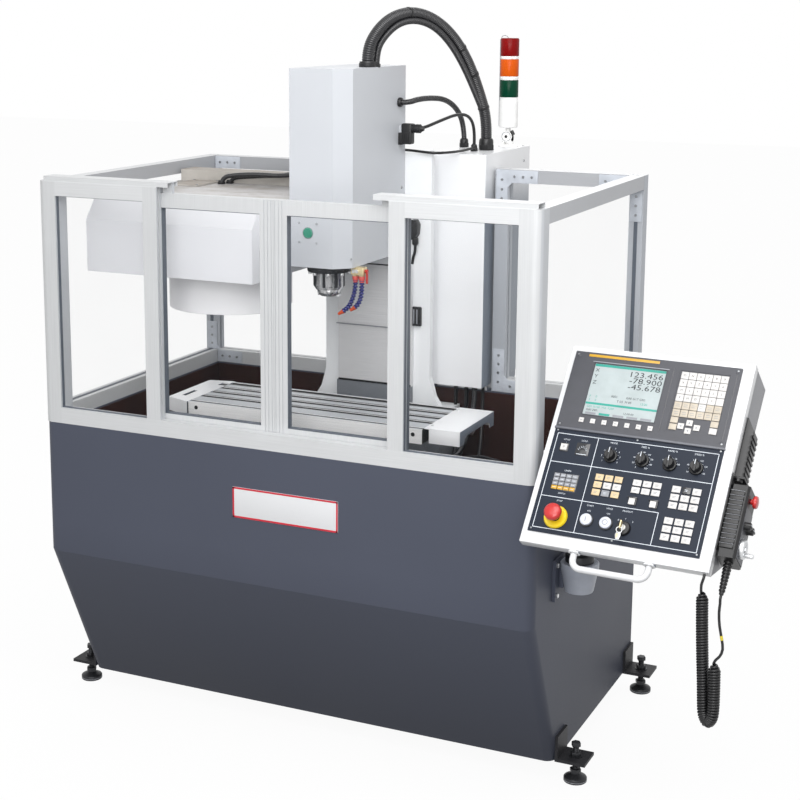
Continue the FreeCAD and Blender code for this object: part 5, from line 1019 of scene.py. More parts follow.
unitStop.turn([(0, 0.4), (6, 0.4), (6, 5.5), (12.5, 6.2), (14.4, 8.4), (14.6, 11.5), (13.2, 14.6),
               (8, 16.2), (0, 16.6)],
              unit["stop"], alongX, 36, "stopRed")
unitStop.make("pendant_stop")

# signal lamp
lamp = dict(x=909.0, y=1110.0, pivot=1571.5, rod=205.0)
lampPivot = (lamp["x"], lamp["y"], lamp["pivot"])
lens = Piece("lamp_lenses", "signal_lamp")
centre = (lamp["x"], lamp["y"], 0)
lens.turn([(0, 1586), (7.4, 1586), (7.6, 1598), (25.5, 1598), (27.6, 1600), (28, 1603), (28, 1676),
           (27.2, 1678), (26.6, 1679), (26.6, 1688), (0, 1688)], centre, alongZ, 48, "lampWhite")
for low, finish in ((1688.5, "lampGreen"), (1750.0, "lampOrange"), (1809.5, "lampRed")):
    lens.turn([(0, low), (27.4, low), (27.9, low + 0.8), (27.9, low + 49), (27.2, low + 50),
               (0, low + 50)], centre, alongZ,
              60, finish, lambda k, h: 1.0 - 0.022 * (k % 2))
for low, high in ((1739.0, 1749.5), (1800.5, 1809.0)):
    lens.turn([(0, low), (26.2, low), (26.2, low + 3), (27.6, low + 3.6), (27.6, high - 2),
               (26.2, high - 1.5), (26.2, high), (0, high)], centre, alongZ, 48, "lampWhite")
lens.turn([(0, 1859.6), (26.6, 1859.6), (26.9, 1860.4), (25.5, 1861.8), (0, 1862.4)], centre, alongZ, 48,
          "lampRed")
rod = math.radians(lamp["rod"])
spot = (lamp["x"] + 27.9 * math.cos(rod), lamp["y"] + 27.9 * math.sin(rod), 0)
lens.turn([(0, 1603), (1.3, 1603), (1.3, 1858), (0, 1858)], spot, alongZ, 8, "keyGrey")
loop = routeLine([at(lamp["x"] + dx, lamp["y"] - 6, z) for dx, z in
                  ((-25, 1859), (-24, 1866), (-16, 1870), (-6, 1868), (-2, 1861))])
lens.tube(loop, 0.9, 8, "keyGrey")
ball = [(15.6 * math.cos(math.radians(a)), 15.6 * math.sin(math.radians(a))) for a in range(-60, 61, 10)]
lens.turn([(0, ball[0][1])] + ball + [(0, ball[-1][1])], lampPivot, alongX, 36, "lampWhite")
lens.turn([(0, 14.2), (4.2, 14.2), (4.4, 16.4), (3.4, 17), (0, 17)], lampPivot, againstY, 20,
          "black")
lens.turn([(0, 12), (16.4, 12), (17, 12.6), (17, 16.4), (16.2, 17), (14.6, 17), (14.4, 16.2)], lampPivot,
          againstY, 40, "lampWhite")
lens.turn([(14.4, 16.2), (12.8, 16.2)], lampPivot, againstY, 40, "keyGrey")
lens.turn([(12.8, 16.2), (12.6, 17.2), (0, 17.6)], lampPivot, againstY, 40, "lampWhite")
lens.turn([(0, 17), (4.4, 17), (4.4, 18.6), (3.4, 19.2), (0, 19.2)], lampPivot, againstY, 20,
          "black")
lens.make("lamp_stack")
hinge = Piece("lamp_hinge", "machine")
for way in (-1, 1):
    x = lamp["x"] + way * 11
    hinge.turn([(0, -3), (15, -3), (15.6, -2.4), (15.6, 2.4), (15, 3), (0, 3)],
               (x, lamp["y"], lamp["pivot"]), alongX, 36, "lampWhite")
    hinge.block((x - 3, lamp["y"] - 12, 1545), (x + 3, lamp["y"] + 12, lamp["pivot"]), "lampWhite", 1.0)
    hinge.turn([(0, 0), (4.6, 0), (4.6, 1.8), (3.6, 2.4), (0, 2.4)],
               (x + way * 3, lamp["y"], lamp["pivot"]), (way, 0, 0), 20, "black")
hinge.turn([(0, 1541.2), (30, 1541.2), (30, 1544.5), (27, 1547.5), (18, 1548.6), (0, 1548.6)], centre,
           alongZ, 40, "lampWhite")
hinge.turn([(0, 0), (5, 0), (5.5, 2), (5.5, 14), (0, 15)], (lamp["x"] + 14, lamp["y"] - 9, 1589),
           (0.5, 0, -1), 16, "black")
hinge.make("lamp_base")

# levelling feet
feet = Piece("feet_turned", "machine")
for x in (-44.0, 1444.0):
    for y in (245.0, 860.0):
        spot = (x, y, 0)
        feet.turn([(0, 0.2), (29, 0.2), (30, 1.4), (30, 4.4)], spot, alongZ, 40, "feet")
        feet.turn([(30, 4.4), (30.2, 4.6), (30.2, 5.8), (30, 6.0)], spot, alongZ, 40, "keyGrey")
        feet.turn([(30, 6.0), (30, 10.5), (28.5, 12.6), (24, 14.8), (15, 20), (12, 22), (12, 26)], spot,
                  alongZ, 40, "feet")
        feet.turn([(0, 26), (15, 26), (15, 34), (13.5, 35), (0, 35)], spot, alongZ, 6, "feet")
        thread = [(0, 35)]
        for i in range(24):
            thread += [(8.0, 35.2 + 2.5 * i), (7.2, 36.45 + 2.5 * i)]
        feet.turn(thread + [(7.0, 95.1), (0, 95.1)], spot, alongZ, 20, "feet")
        feet.turn([(0, 68.1), (13.2, 68.1), (13.8, 69), (13.8, 79), (13.0, 80.2), (0, 80.2)], spot, alongZ,
                  6, "feet")
        feet.turn([(0, 94.8), (12, 94.8), (12.4, 95.6), (12.4, 104.6), (11.4, 106.2), (0, 106.2)], spot,
                  alongZ, 6, "feet")
        feet.turn([(0, 68.05), (17, 68.05), (17, 69.6), (0, 69.6)], spot, alongZ, 28, "feet")
feet.make("levelling_feet")

# glands where the conduits enter the cabinet and the head
glands = Piece("conduit_glands", "machine")
for x, y, radius, tall in ((897, 959, 16.5, 34), (801, 1026, 8, 26), (878, 911, 4.5, 20)):
    foot = (x, y, 1541.0)
    glands.turn([(0, 0.1), (radius + 6.6, 0.1), (radius + 7, 0.9), (radius + 7, tall * 0.42),
                 (radius + 6.2, tall * 0.48), (0, tall * 0.48)], foot, alongZ, 6, "black")
    glands.turn([(0, tall * 0.48), (radius + 4.6, tall * 0.48), (radius + 4.8, tall * 0.6),
                 (radius + 4.4, tall * 0.84), (radius + 1.6, tall - 0.1), (0, tall - 0.1)], foot, alongZ,
                 30, "black", lambda k, h: 1 - 0.03 * (k % 2))
glands.make("conduit_fittings")
headGland = Piece("head_glands", "head")
headGland.turn([(0, 0.2), (23.6, 0.2), (24, 1), (24, 10), (22.6, 11), (22, 15), (0, 15.4)],
               (722, 512, 1791), alongZ, 36, "black")
headGland.turn([(0, 0.2), (11, 0.2), (11.4, 1), (11.4, 8), (8, 10), (0, 10)], (738, 533, 1791), alongZ, 28,
               "black")
headGland.turn([(0, 0), (13, 0), (13.4, 1), (13.4, 6), (12, 9), (0, 10)], (746.2, 668, 1690), alongX, 28,
               "black")
headGland.block((745, 664, 1572), (757, 689, 1606), "black", 2.0)
headGland.block((755, 662, 1574), (786, 689, 1632), "black", 5.0, 3)
for i in range(5):
    headGland.block((757 + 5.6 * i, 660.6, 1580), (760 + 5.6 * i, 663, 1608), "black", 0.6)
headGland.turn([(0, 0), (13.4, 0), (13.4, 5), (11.6, 6), (11.6, 10), (12.6, 11), (12.6, 24), (9, 27),
                (6.0, 34), (0, 34)],
               (785, 675.6, 1618), alongX, 24, "black", lambda k, h: 1 - 0.05 * (k % 2))
headGland.make()
band = Piece("conduit_ties", None)
for share in ties["spots"]:
    i = round(share * (len(bigLine) - 1))
    band.tube(bigLine[i - 3:i + 4], ties["radius"], 26, "black")
tiePiece = band.make()
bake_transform(tiePiece)

# control panel box, its cup, handle and holders
panelShell = dict(x0=-14.0, x1=426.0, foot=-490.0, lowT=-440.0, lowDepth=-100.0, depth=-128.0, top=16.0,
                  front=-26.0)
shell = Piece("panel_case", "control_panel", panelPlane)
section = [(panelShell["foot"], 0), (panelShell["foot"], panelShell["front"]),
           (panelShell["lowT"], panelShell["lowDepth"]), (panelShell["top"], panelShell["depth"]),
           (panelShell["top"], 0)]
# the box's two ends and its back are grey as painted shade; the front edges keep the white paint
shell.slab(section, panelShell["x0"], panelShell["x1"], "x", "boxGrey",
           {0: "plate", 1: "plate", 3: "plate", 4: "plate"}, bevel=2.6)
shell.slab([(-490, 0.05), (-490, -25), (16, -25), (16, 0.05)], 425.6, 426.7, "x", "plate", bevel=0.5)
for low, high in (((426.5, -430, -100), (429.8, -105, -25)), ((426.5, -265, -140), (429.8, -105, -90))):
    shell.block(low, high, "black", 0.8)
for i in range(11):
    shell.block((429.6, -258 + 13.4 * i, -138), (432.4, -251.5 + 13.4 * i, -92), "rubber", 1.0)
    shell.block((429.6, -257.2 + 13.4 * i, -139.4), (430.6, -252.2 + 13.4 * i, -138), "keyGrey")
shell.make("panel_box")
swivel = (1452, 200, 0)
pivot = Piece("panel_pivot", "control_panel")
pivot.turn([(0, 546.5), (23.6, 546.5), (24, 547.5), (24, 606.3), (35, 606.3), (36, 607.5), (36, 624),
            (34.5, 626.4), (24.5, 626.8), (24.3, 640), (24, 1000), (0, 1000)], swivel, alongZ, 44, "feet")
pivot.make()
cup = Piece("panel_cup", "machine")
cup.turn([(24.4, 566), (24.4, 605.2), (26, 606), (46, 606), (48, 604), (48, 591), (47.2, 589.5),
          (36.6, 534), (35, 530.6), (32, 530), (0, 530)], swivel, alongZ, 48, "cupPale")
cup.slab([(1400, 512), (1400, 614), (1402, 616), (1408, 616), (1408, 510), (1402, 510)], 146, 254, "y",
         "tank")
cup.slab([(1407, 538), (1407, 596), (1424, 596), (1418, 538)], 178, 222, "y", "tank", bevel=1.5)
for y in (158, 242):
    for z in (524, 602):
        cup.turn([(0, 0), (6, 0), (6.3, 0.6), (6.3, 4.4), (5.6, 5), (0, 5)], (1408, y, z), alongX, 6,
                 "zinc")
cup.make("panel_bracket")

grab = dict(x0=117.0, x1=292.0, top=-490.0, low=-528.0, n=-13.0, bend=22.0, radius=7.6)
handle = Piece("panel_grab_handle", "control_panel", panelPlane)
spine = [(grab["x0"], grab["top"] + 0.5), (grab["x0"], grab["low"] + grab["bend"])]
for centre, first in ((grab["x0"] + grab["bend"], math.pi), (grab["x1"] - grab["bend"], 1.5 * math.pi)):
    spine += [(centre + grab["bend"] * math.cos(first + a),
               grab["low"] + grab["bend"] + grab["bend"] * math.sin(first + a))
              for a in [math.pi / 2 * k / 8 for k in range(9)]]
spine += [(grab["x1"], grab["top"] + 0.5)]
handle.tube([onPanel(x, t, grab["n"]) for x, t in spine], grab["radius"], 24, "plate")
for x in (grab["x0"], grab["x1"]):
    handle.turn([(0, 0), (13.5, 0), (14, 0.8), (14, 3.4), (12, 4.4), (9, 4.6)],
                (x, grab["top"], grab["n"]), againstY, 28, "cabinet")
handle.make("panel_handle")

# spindle nose, its drive and the coolant manifold
spindleX, spindleY = 662.0, 400.0
noseAt = (spindleX, spindleY, 0.0)
nose = Piece("nose_barrel", "head")
nose.turn([(0, 1264.4), (58.6, 1264.4), (60, 1263), (60, 1251), (58.4, 1247.5), (45, 1246.6),
           (44.4, 1245)], noseAt, alongZ, 56,
          "feet")
stripes = lambda k: "feet" if k % 7 in (0, 1) else ("ground" if k % 7 < 6 else "nose")
nose.turn([(44.4, 1245), (43.5, 1243.6), (43.5, 1209), (42.6, 1207), (40.5, 1206)], noseAt, alongZ, 56,
          stripes, lambda k, h: 0.955 if k % 7 in (0, 1) and h > 1207 else 1.0)
nose.turn([(40.5, 1206), (40, 1202.5), (37.4, 1201), (37.2, 1198.4), (33.6, 1197.6), (33.2, 1199.4),
           (0, 1199.4)], noseAt,
          alongZ, 56, lambda k: "nose" if k % 7 in (0, 1) else "ground")
for i in range(8):
    a = math.radians(22.5 + 45 * i)
    nose.turn([(0, 0), (5.2, 0), (5.6, 0.6), (5.6, 7), (5.0, 8), (2.8, 8), (2.8, 4.5), (0, 4.5)],
              (spindleX + 51.5 * math.cos(a), spindleY + 51.5 * math.sin(a), 1247.2), againstZ, 14, "zinc")
nose.make("spindle_nose")
taper = Piece("spindle_taper", "spindle_shaft")
taper.turn([(0, 1526), (28, 1526), (28, 1262), (31, 1204), (32.6, 1196.6), (32.6, 1189), (31.6, 1187.4),
            (29, 1183.2), (25, 1181.6), (24.2, 1180.4), (21, 1179.4), (15.6, 1212), (12.5, 1226),
            (0, 1226)], noseAt, alongZ, 48,
           lambda k: "nose" if k % 8 == 0 else "ground")
for way in (-1, 1):
    x = spindleX + way * 27
    taper.block((x - 4.5, 392.5, 1179.2), (x + 4.5, 407.5, 1184.5), "zinc", 0.8)
taper.make("spindle")

manifold = Piece("coolant_block", "head")
manifold.block((732, 388, 1243), (770, 412, 1264), "brass", 2.4)
manifold.block((736, 386.6, 1248), (744, 388.4, 1258), "zinc", 0.6)
for x in (741, 760):
    manifold.turn([(0, 1244), (8.4, 1244), (8.8, 1243), (8.8, 1239.4), (8.0, 1238.4), (0, 1238.4)],
                  (x, 400, 0), alongZ, 6, "brass")
    manifold.turn([(0, 1238.6), (8.6, 1238.6), (8.9, 1237), (8.9, 1231), (7.4, 1228.6), (6.8, 1222.4),
                   (0, 1222.4)],
                  (x, 400, 0), alongZ, 24, "collarPink", lambda k, h: 1 - 0.03 * (k % 2))
manifold.turn([(0, 0), (6.4, 0), (6.8, 0.6), (6.8, 2.2), (0, 2.6)], (768, 400, 1253), alongX, 24, "brass")
manifold.turn([(0, 0), (5, 0), (5, 4.4), (0, 4.6)], (751, 388.2, 1254), againstY, 20, "zinc")
manifold.make("coolant_manifold")
tap = Piece("coolant_tap", "coolant_valve")
tap.turn([(0, 0.4), (4.8, 0.4), (5.4, 1.2), (5.4, 6.6), (4.6, 7.4), (0, 7.4)], (770.4, 400, 1253), alongX,
         28, "leverRed")
tap.slab([(396.4, 1252), (396.2, 1222), (397.6, 1219.4), (402.4, 1219.4), (403.8, 1222), (403.6, 1252),
          (401, 1256), (399, 1256)], 773, 777.4, "x", "leverRed", bevel=0.9)
tap.make("valve_lever")

# head front plug, way cover wipers
plugSpot = (633, 330.2, 1357)
plug = Piece("head_plug", "head")
plug.turn([(0, -0.4), (14.4, -0.4), (14.4, 1.0), (13.4, 2.2), (12.6, 2.9), (0, 3.2)], plugSpot, againstY,
          40, "plugTeal")
plug.turn([(14.2, 0.0), (15.8, 0.0), (15.6, 0.9), (14.2, 1.1)], plugSpot, againstY, 40, "keyGrey")
plug.block((546, 680.6, 1043), (778, 682.2, 1046), "keyGrey", 0.5)
plug.block((546, 680.6, 1224), (778, 682.2, 1228), "rubber", 0.5)
plug.make()
wiper = Piece("lower_cover_wiper", "machine")
wiper.block((546, 694.4, 872), (778, 696.2, 878), "rubber", 0.5)
wiper.slab([(772, 1052), (772, 1104), (775, 1107), (800, 1107), (803, 1104), (803, 1052)], 703, 714.2, "y",
           "black", bevel=1.0)
for x in (780, 790):
    wiper.block((x, 702.2, 1058), (x + 4, 703.4, 1100), "keyGrey", 0.4)
wiper.slab([(772, 1302), (769, 1330), (774, 1359), (790, 1359), (797, 1345), (795, 1318), (784, 1302)],
           690, 714.2, "y", "black", bevel=2.0)
wiper.turn([(0, 0), (8.5, 0), (9, 3), (9, 16), (6, 20), (0, 20)], (785, 702, 1306), againstZ, 20, "black")
wiper.tube(routeLine([at(785, 702, 1290), at(785, 702, 1276), at(782, 706, 1262), at(774, 711, 1246),
                      at(772, 713.5, 1230)]),
           4.0, 12, "rubber")
wiper.make()

# drum guard and the fork disc inside it
drum = dict(x=355.0, y=400.0, low=1131.0, top=1236.0, radius=171.5, wall=3.0, window=30, forks=8,
            pocket=148.0)
can = Piece("drum_can", "changer_carriage")
turns = [math.radians(drum["window"] + (360 - 2 * drum["window"]) * k / 60) for k in range(61)]
rings = []
for a in turns:
    spots = [(drum["x"] + r * math.cos(a), drum["y"] + r * math.sin(a), z)
             for r, z in ((drum["radius"], drum["low"] + 1), (drum["radius"] - 1, drum["low"]),
                          (drum["radius"] - drum["wall"] + 0.8, drum["low"]),
                          (drum["radius"] - drum["wall"], drum["low"] + 1),
                          (drum["radius"] - drum["wall"], drum["top"]),
                          (drum["radius"] - 1.5, drum["top"]), (drum["radius"], drum["top"] - 1.5))]
    rings.append(can.spots(spots))
slot = can.slot("drumPaintedLight")
for first, then in zip(rings, rings[1:]):
    for i in range(7):
        face = can.mesh.faces.new([first[i], then[i], then[(i + 1) % 7], first[(i + 1) % 7]])
        face.material_index, face.smooth = slot, True
for ring in (rings[0][::-1], rings[-1]):
    can.mesh.faces.new(ring).material_index = slot
lid = []
for a in [math.pi * (k - 45) / 45 for k in range(90)]:
    reach = 95 if abs(a) < 0.36 else drum["radius"] - 2
    lid.append((drum["x"] + reach * math.cos(a), drum["y"] + reach * math.sin(a)))
can.slab(lid, drum["top"] - 3, drum["top"] - 0.2, "z", "changer")
can.make("drum_guard")
fork = Piece("fork_disc", "drum")
disc = (1136.0, 1150.0)
fork.turn([(0, disc[0] - 8), (42, disc[0] - 8), (46, disc[0] - 5), (46, disc[0] - 0.5), (120, disc[0]),
           (128, disc[0] + 1), (128, disc[1] - 1), (120, disc[1]), (30, disc[1] + 2), (24, disc[1] + 12),
           (20, disc[1] + 14), (20, 1234), (0, 1234)],
          (drum["x"], drum["y"], 0), alongZ, 64, "castAlu")
arc = [(drum["pocket"] + 22 * math.cos(a), 22 * math.sin(a)) for a in
       [math.radians(-60 - 240 * k / 12) for k in range(13)]]
claw = [(105, -32), (161, -32), (165, -28), (165, -19)] + arc + [(165, 19), (165, 28), (161, 32), (105, 32)]
for i in range(drum["forks"]):
    a = 2 * math.pi * i / drum["forks"]
    fork.slab([(drum["x"] + r * math.cos(a) - s * math.sin(a),
                drum["y"] + r * math.sin(a) + s * math.cos(a))
               for r, s in claw], *disc, "z", "castAlu", bevel=0.8)
    x, y = drum["x"] + 92 * math.cos(a), drum["y"] + 92 * math.sin(a)
    fork.turn([(0, 0), (7, 0), (7.4, 1), (7.4, 7), (0, 7.6)], (x, y, disc[0]), againstZ, 6, "zinc")
fork.make("tool_drum")

# cables over the changer and under the cabinet
cables = dict(
    first=dict(radius=7.0, rib=4.2, points=[(212, 600, 1441), (216, 600, 1462), (256, 600, 1470),
                                            (330, 596, 1476), (410, 600, 1474), (484, 622, 1484),
                                            (540, 660, 1506), (560, 700, 1542), (560, 728, 1580),
                                            (562, 768, 1580), (562, 768, 1545)]),
    second=dict(radius=6.0, rib=3.8, points=[(226, 624, 1441), (232, 624, 1456), (262, 622, 1462),
                                             (325, 618, 1468), (400, 624, 1472), (464, 650, 1490),
                                             (512, 680, 1516), (532, 704, 1552), (536, 728, 1576),
                                             (552, 792, 1576), (552, 792, 1545)]),
    third=dict(radius=8.0, rib=5.0, points=[(927, 822, 864), (927, 822, 806), (925, 796, 746),
                                            (921, 752, 700), (911, 712, 670), (872, 712, 670)]),
    fourth=dict(radius=6.0, rib=0.0, points=[(897, 834, 864), (897, 834, 806), (897, 822, 744),
                                             (899, 794, 684), (901, 768, 640), (872, 768, 640)]),
    fifth=dict(radius=5.0, rib=0.0, points=[(862, 838, 864), (862, 838, 820), (868, 820, 752),
                                            (884, 786, 690), (896, 740, 640), (872, 728, 622)]),
    sixth=dict(radius=4.5, rib=0.0, points=[(944, 846, 864), (944, 846, 820), (952, 820, 756),
                                            (968, 770, 690), (980, 700, 640), (960, 640, 612),
                                            (872, 620, 622)]),
)
cableSet = Piece("cable_run", "machine")
for name, route in cables.items():
    line, length = paced(routeLine([at(*p) for p in route["points"]]), (route["rib"] / 4 or 5) / 1000)
    ribs = lambda s, r=route: r["radius"] - 0.7 * ripple(s, r["rib"])
    cableSet.tube(line, ribs if route["rib"] else route["radius"], 16,
                  "conduit" if route["rib"] else "rubber")
for x, y, z in ((212, 600, 1441.6), (226, 624, 1441.6)):
    cableSet.turn([(0, 0), (11, 0), (11.5, 1), (11.5, 6), (9.4, 8), (9.0, 11), (0, 11)], (x, y, z), alongZ,
                  24, "black")
cableSet.make("machine_cables")
trayCables = Piece("tray_cables", "machine")
for points in ([(905, 560, 700), (960, 560, 706), (1030, 590, 726), (1110, 560, 722), (1190, 510, 690),
                (1262, 520, 640), (1320, 560, 612), (1374, 580, 612)],
               [(905, 590, 690), (965, 596, 700), (1040, 624, 714), (1122, 600, 704), (1200, 556, 668),
                (1270, 560, 624), (1326, 600, 609), (1374, 616, 609)]):
    line, length = paced(routeLine([at(*p) for p in points]), 0.006)
    trayCables.tube(line, 5.5, 14, "conduit")
trayCables.make()

# changer housing of bent sheet, open below and behind, with a low cover on top
housing = dict(x0=48.0, x1=563.0, front=150.0, rear=640.0, low=1239.0, top=1442.0, knee=1382.0, sheet=2.5)
sheetMetal = Piece("changer_cover", "machine")
front, rearSide, lowEdge, topEdge = housing["front"], housing["rear"], housing["low"], housing["top"]
knee = [(front, housing["knee"]), (front + 46.8, topEdge)]
sheetMetal.slab([(front, lowEdge)] + knee + [(rearSide, topEdge), (rearSide, topEdge - 2.5),
                                             (front + 48, topEdge - 2.5),
                 (front + 2.5, housing["knee"] - 1.2), (front + 2.5, lowEdge)], housing["x0"] + 2.5,
                 housing["x1"] - 2.5, "x",
                "changer", bevel=0.4)
for x in (housing["x0"], housing["x1"] - 2.5):
    sheetMetal.slab([(front, lowEdge)] + knee + [(rearSide, topEdge), (rearSide, lowEdge)], x, x + 2.5,
                    "x", "changer", bevel=0.6)
sheetMetal.block((100, 500, 1441.8), (190, 632, 1447), "stained", 1.2)
for x, y in ((106, 508), (184, 508), (106, 624), (184, 624)):
    sheetMetal.turn([(0, 0), (3.6, 0), (3.6, 1.4), (2.8, 2.0), (0, 2.0)], (x, y, 1447), alongZ, 12, "nose")
sheetMetal.make("changer_housing")
headLine = Piece("rear_head_line", "machine")
headLine.tube(routeLine([at(728, 726, 1553), at(764, 718, 1553), at(805, 705, 1551), at(846, 700, 1549.5),
                         at(872, 760, 1549),
                    at(880, 830, 1549), at(884, 905, 1552)]), 3.9, 12, "rubber")
headLine.make()

# rear corner plates, pane seals whose dark colour also stands in for shade in the window reveals, and the
# table's right end cover
rear = dict(width=1400.0, low=845.0, high=1498.0, middle=965.0, face=857.0, back=860.0, reach=128.0,
            leg=38.0)
plates = Piece("rear_corner_plates", "machine")
screws = []
for x, way, edge in ((0, 1, 41.0), (rear["width"], -1, 41.0), (rear["middle"], 1, 2.0)):
    outline = [(4, edge), (4, rear["reach"]), (rear["leg"], rear["reach"]), (rear["leg"], 52),
               (52, rear["leg"]), (rear["reach"], rear["leg"]), (rear["reach"], 2), (max(edge, 4), 2),
               (max(edge, 4), edge)]
    if edge < 4:
        outline = outline[1:7] + [(4, 2)]
    for level, side in ((rear["low"], 1), (rear["high"], -1)):
        plates.slab([(x + way * a, level + side * b) for a, b in outline], rear["face"], rear["back"], "y",
                    "anglePlate", bevel=0.6)
        screws += [("machine", (x + way * a, rear["face"], level + side * b), againstY, 4.0)
                   for a, b in ((21, 58), (21, 84), (21, 110), (58, 20), (84, 20), (110, 20), (21, 30))]
plates.make("corner_plates")


# dark seal liners round a window opening; their colour also stands in for the shade in the reveals
def seal(piece, x0, x1, y0, y1, z0, z1, thick, edge=2.0):
    piece.block((x0, y0, z0), (x0 + thick, y1, z1), "sealShadeDark")
    piece.block((x1 - thick, y0, z0), (x1, y1, z1), "sealShadeDark")
    piece.block((x0, y0, z0), (x1, y1, z0 + edge), "sealShadeDark")
    piece.block((x0, y0, z1 - edge), (x1, y1, z1), "sealShadeDark")


doorWindows = dict(door_left=(368.0, 654.7), door_right=(731.3, 1018.0))
for body, (x0, x1) in doorWindows.items():
    liner = Piece(body + "_seal", body)
    seal(liner, x0 - 0.2, x1 + 0.2, 26.0, 44.5, 901.8, 1444.2, 1.2)
    if body == "door_right":
        # a dark strip on the stile's outer edge, standing in for the shade on that side face
        stileEdge = x1 + 38.0
        liner.block((stileEdge, 25, 866), (stileEdge + 0.8, 45, 1480), "sealShadeDark", 0.2)
    liner.make()
fixedSeal = Piece("fixed_seals", "machine")
for x0, x1 in ((56.0, 327.0), (1059.0, 1344.0)):
    seal(fixedSeal, x0 - 0.2, x1 + 0.2, 6.0, 16.0, 887.8, 1460.2, 1.2)
for x in (20.0, 1380.0):
    for y0, y1 in ((52.0, 54.0), (858.0, 860.0)):
        fixedSeal.block((x - 5, y0, 885), (x + 5, y1, 1460), "sealShadeDark")
    fixedSeal.block((x - 5, 52, 885), (x + 5, 860, 886.5), "sealShadeDark")
    fixedSeal.block((x - 5, 52, 1458.5), (x + 5, 860, 1460), "sealShadeDark")
fixedSeal.make()

cover = Piece("table_end_cover", "work_table")
cover.slab([(266, 838.6), (266, 878), (513, 878), (513, 838.6), (486, 838.6), (480, 851), (466, 858),
            (318, 858), (302, 852), (294, 838.6)], 1100.2, 1103, "x", "cabinet", bevel=0.7)
cover.block((1003, 266, 875.4), (1102.6, 513, 878), "cabinet", 0.9)
cover.block((1016, 266, 838.6), (1102.6, 268.6, 877.6), "cabinet", 0.9)
cover.block((1003, 510.4, 838.6), (1102.6, 513, 877.6), "cabinet", 0.9)
cover.block((1003.2, 300, 846), (1078, 470, 868), "black", 3.0)
cover.turn([(0, 0), (14, 0), (14.6, 1), (14.6, 15), (13, 16), (0, 16)], (1078, 384, 857), alongX, 28,
           "zinc")
for x, y in ((1012, 300), (1012, 480)):
    cover.turn([(0, 0), (4.2, 0), (4.2, 1.4), (3.4, 1.9), (0, 1.9)], (x, y, 878), alongZ, 16, "zinc")
cover.make("table_cover_right")
plugs = Piece("table_plugs", "work_table")
for x in (326, 978):
    plugs.turn([(0, 0), (5.4, 0), (5.4, 0.6), (4.2, 1.0), (0, 0.9)], (x, 249.8, 862), againstY, 20, "black")
plugs.make()

# the plate on the tank's front, left bare
bare = Piece("bare_plate", "machine")
corner = [(583, 656), (583, 738), (885, 738), (885, 656)]
bare.slab(corner, -1.6, 0.2, "y", "plate", bevel=0.6)
for x0, x1, z0, z1 in ((583.4, 884.6, 733, 737.6), (583.4, 884.6, 656.4, 661), (583.4, 588, 656.4, 737.6),
                       (880, 884.6, 656.4, 737.6)):
    bare.block((x0, -1.9, z0), (x1, -1.5, z1), "borderRed")
bare.make()

# screws: one head placed on every marked spot by a geometry tree
screws += [("head", (633 + 26 * a, 330.1, 1357 + 26 * b), againstY, 3.6) for a in (-1, 1) for b in (-1, 1)]
screws += [("head", (746.1, 690, 1450), alongX, 4.6), ("head", (746.1, 360, 1290), alongX, 3.6)]
screws += [("control_panel", panelPlane @ (Vector(spot) / 1000), None, size) for spot, size in
           [((x, t, 6.0), 2.6) for x in (8, 392) for t in (-8, -192)] +
           [((x, t, 3.0), 2.4) for x in (7, 200, 393) for t in (-207.5, -455)]]
screws += [("machine", (x, y, 1541), alongZ, 4.0) for x in (786, 947) for y in (812, 1140)]
screws += [("machine", (957.0, 1120, z), alongX, 4.6) for z in (920, 1210, 1500)]


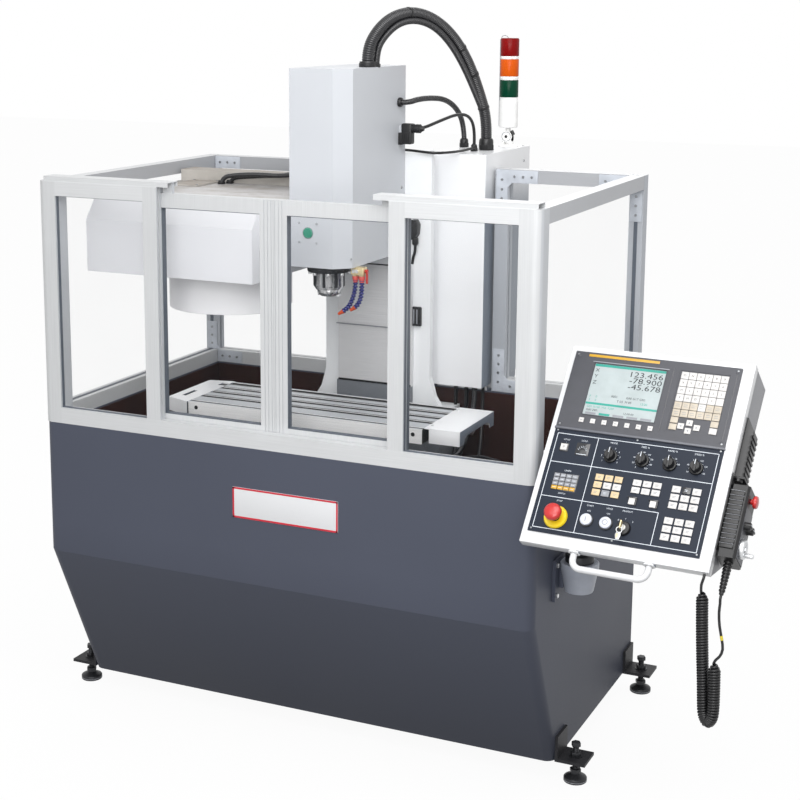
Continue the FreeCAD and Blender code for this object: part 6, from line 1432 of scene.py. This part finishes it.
def screwTree():
    tree = bpy.data.node_groups.new("screwHeads", "GeometryNodeTree")
    face = tree.interface
    face.new_socket("Spots", in_out="INPUT", socket_type="NodeSocketGeometry")
    for label, start in (("Dome", 0.45), ("Recess", 0.35)):
        face.new_socket(label, in_out="INPUT", socket_type="NodeSocketFloat").default_value = start
    face.new_socket("Finish", in_out="INPUT", socket_type="NodeSocketMaterial")
    face.new_socket("Heads", in_out="OUTPUT", socket_type="NodeSocketGeometry")
    net = Network(tree)
    given = tree.nodes.new("NodeGroupInput")
    spots, dome, recess, finish = [Signal(net, given.outputs[name])
                                   for name in ("Spots", "Dome", "Recess", "Finish")]
    disc = net.node("GeometryNodeMeshCircle", {"fill_type": "NGON"}, {"Vertices": 14, "Radius": 1.0})
    upright = lambda length: net.node("ShaderNodeCombineXYZ", values={"Z": length})
    side = tree.nodes.new("GeometryNodeExtrudeMesh")
    net.plug(side.inputs["Mesh"], disc)
    net.plug(side.inputs["Offset"], upright(dome))
    side.inputs["Offset Scale"].default_value = 1.0
    top = Signal(net, side.outputs["Top"])
    crown = net.node("GeometryNodeScaleElements", {"domain": "FACE"},
                     {"Geometry": Signal(net, side.outputs["Mesh"]), "Selection": top, "Scale": 0.82})
    hollow = tree.nodes.new("GeometryNodeExtrudeMesh")
    net.plug(hollow.inputs["Mesh"], crown)
    net.plug(hollow.inputs["Selection"], top)
    net.plug(hollow.inputs["Offset"], upright(0.02))
    hollow.inputs["Offset Scale"].default_value = 1.0
    rim = Signal(net, hollow.outputs["Top"])
    ring = net.node("GeometryNodeScaleElements", {"domain": "FACE"},
                    {"Geometry": Signal(net, hollow.outputs["Mesh"]), "Selection": rim, "Scale": 0.52})
    socket = tree.nodes.new("GeometryNodeExtrudeMesh")
    net.plug(socket.inputs["Mesh"], ring)
    net.plug(socket.inputs["Selection"], rim)
    net.plug(socket.inputs["Offset"], upright(0.0 - recess))
    socket.inputs["Offset Scale"].default_value = 1.0
    head = Signal(net, socket.outputs["Mesh"])
    facing = net.node("GeometryNodeInputNamedAttribute", {"data_type": "FLOAT_VECTOR"}, {"Name": "facing"})
    size = net.node("GeometryNodeInputNamedAttribute", {"data_type": "FLOAT"}, {"Name": "headSize"})
    turned = net.node("FunctionNodeAlignRotationToVector", {"axis": "Z"}, {"Vector": facing})
    placed = net.node("GeometryNodeInstanceOnPoints", values={"Points": spots, "Instance": head,
                                                              "Rotation": turned, "Scale": size})
    solid = net.node("GeometryNodeRealizeInstances", values={"Geometry": placed})
    dressed = net.node("GeometryNodeSetMaterial", values={"Geometry": solid, "Material": finish})
    net.node("NodeGroupOutput", values={"Heads": dressed})
    return tree


heads = screwTree()
outOfPanel = (onPanel(0, 0, 1) - onPanel(0, 0, 0)).normalized()
for body in sorted({row[0] for row in screws}):
    rows = [row for row in screws if row[0] == body]
    marksMesh = bpy.data.meshes.new("screwSpots")
    marksMesh.from_pydata([row[1] if row[2] is None else at(*row[1]) for row in rows], [], [])
    for name, sort in (("facing", "FLOAT_VECTOR"), ("headSize", "FLOAT")):
        marksMesh.attributes.new(name, sort, "POINT")
    for i, row in enumerate(rows):
        marksMesh.attributes["facing"].data[i].vector = outOfPanel if row[2] is None else row[2]
        marksMesh.attributes["headSize"].data[i].value = row[3] / 1000
    holder = bpy.data.objects.new("screwSpots", marksMesh)
    bpy.context.scene.collection.objects.link(holder)
    modifier = holder.modifiers.new("screws", "NODES")
    modifier.node_group = heads
    for item in heads.interface.items_tree:
        if item.item_type == "SOCKET" and item.in_out == "INPUT" and item.name == "Finish":
            modifier[item.identifier] = finishes["nose"]
    bpy.context.view_layer.update()
    made = bpy.data.meshes.new_from_object(holder.evaluated_get(bpy.context.evaluated_depsgraph_get()))
    holder.modifiers.remove(modifier)
    bpy.data.objects.remove(holder)
    made.name = "screws_" + body
    made.set_sharp_from_angle(angle=math.radians(30))
    piece = bpy.data.objects.new("screws_" + body, made)
    bpy.context.scene.collection.objects.link(piece)
    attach(piece, body)
    print("screws on", body, len(rows), "faces", len(made.polygons))
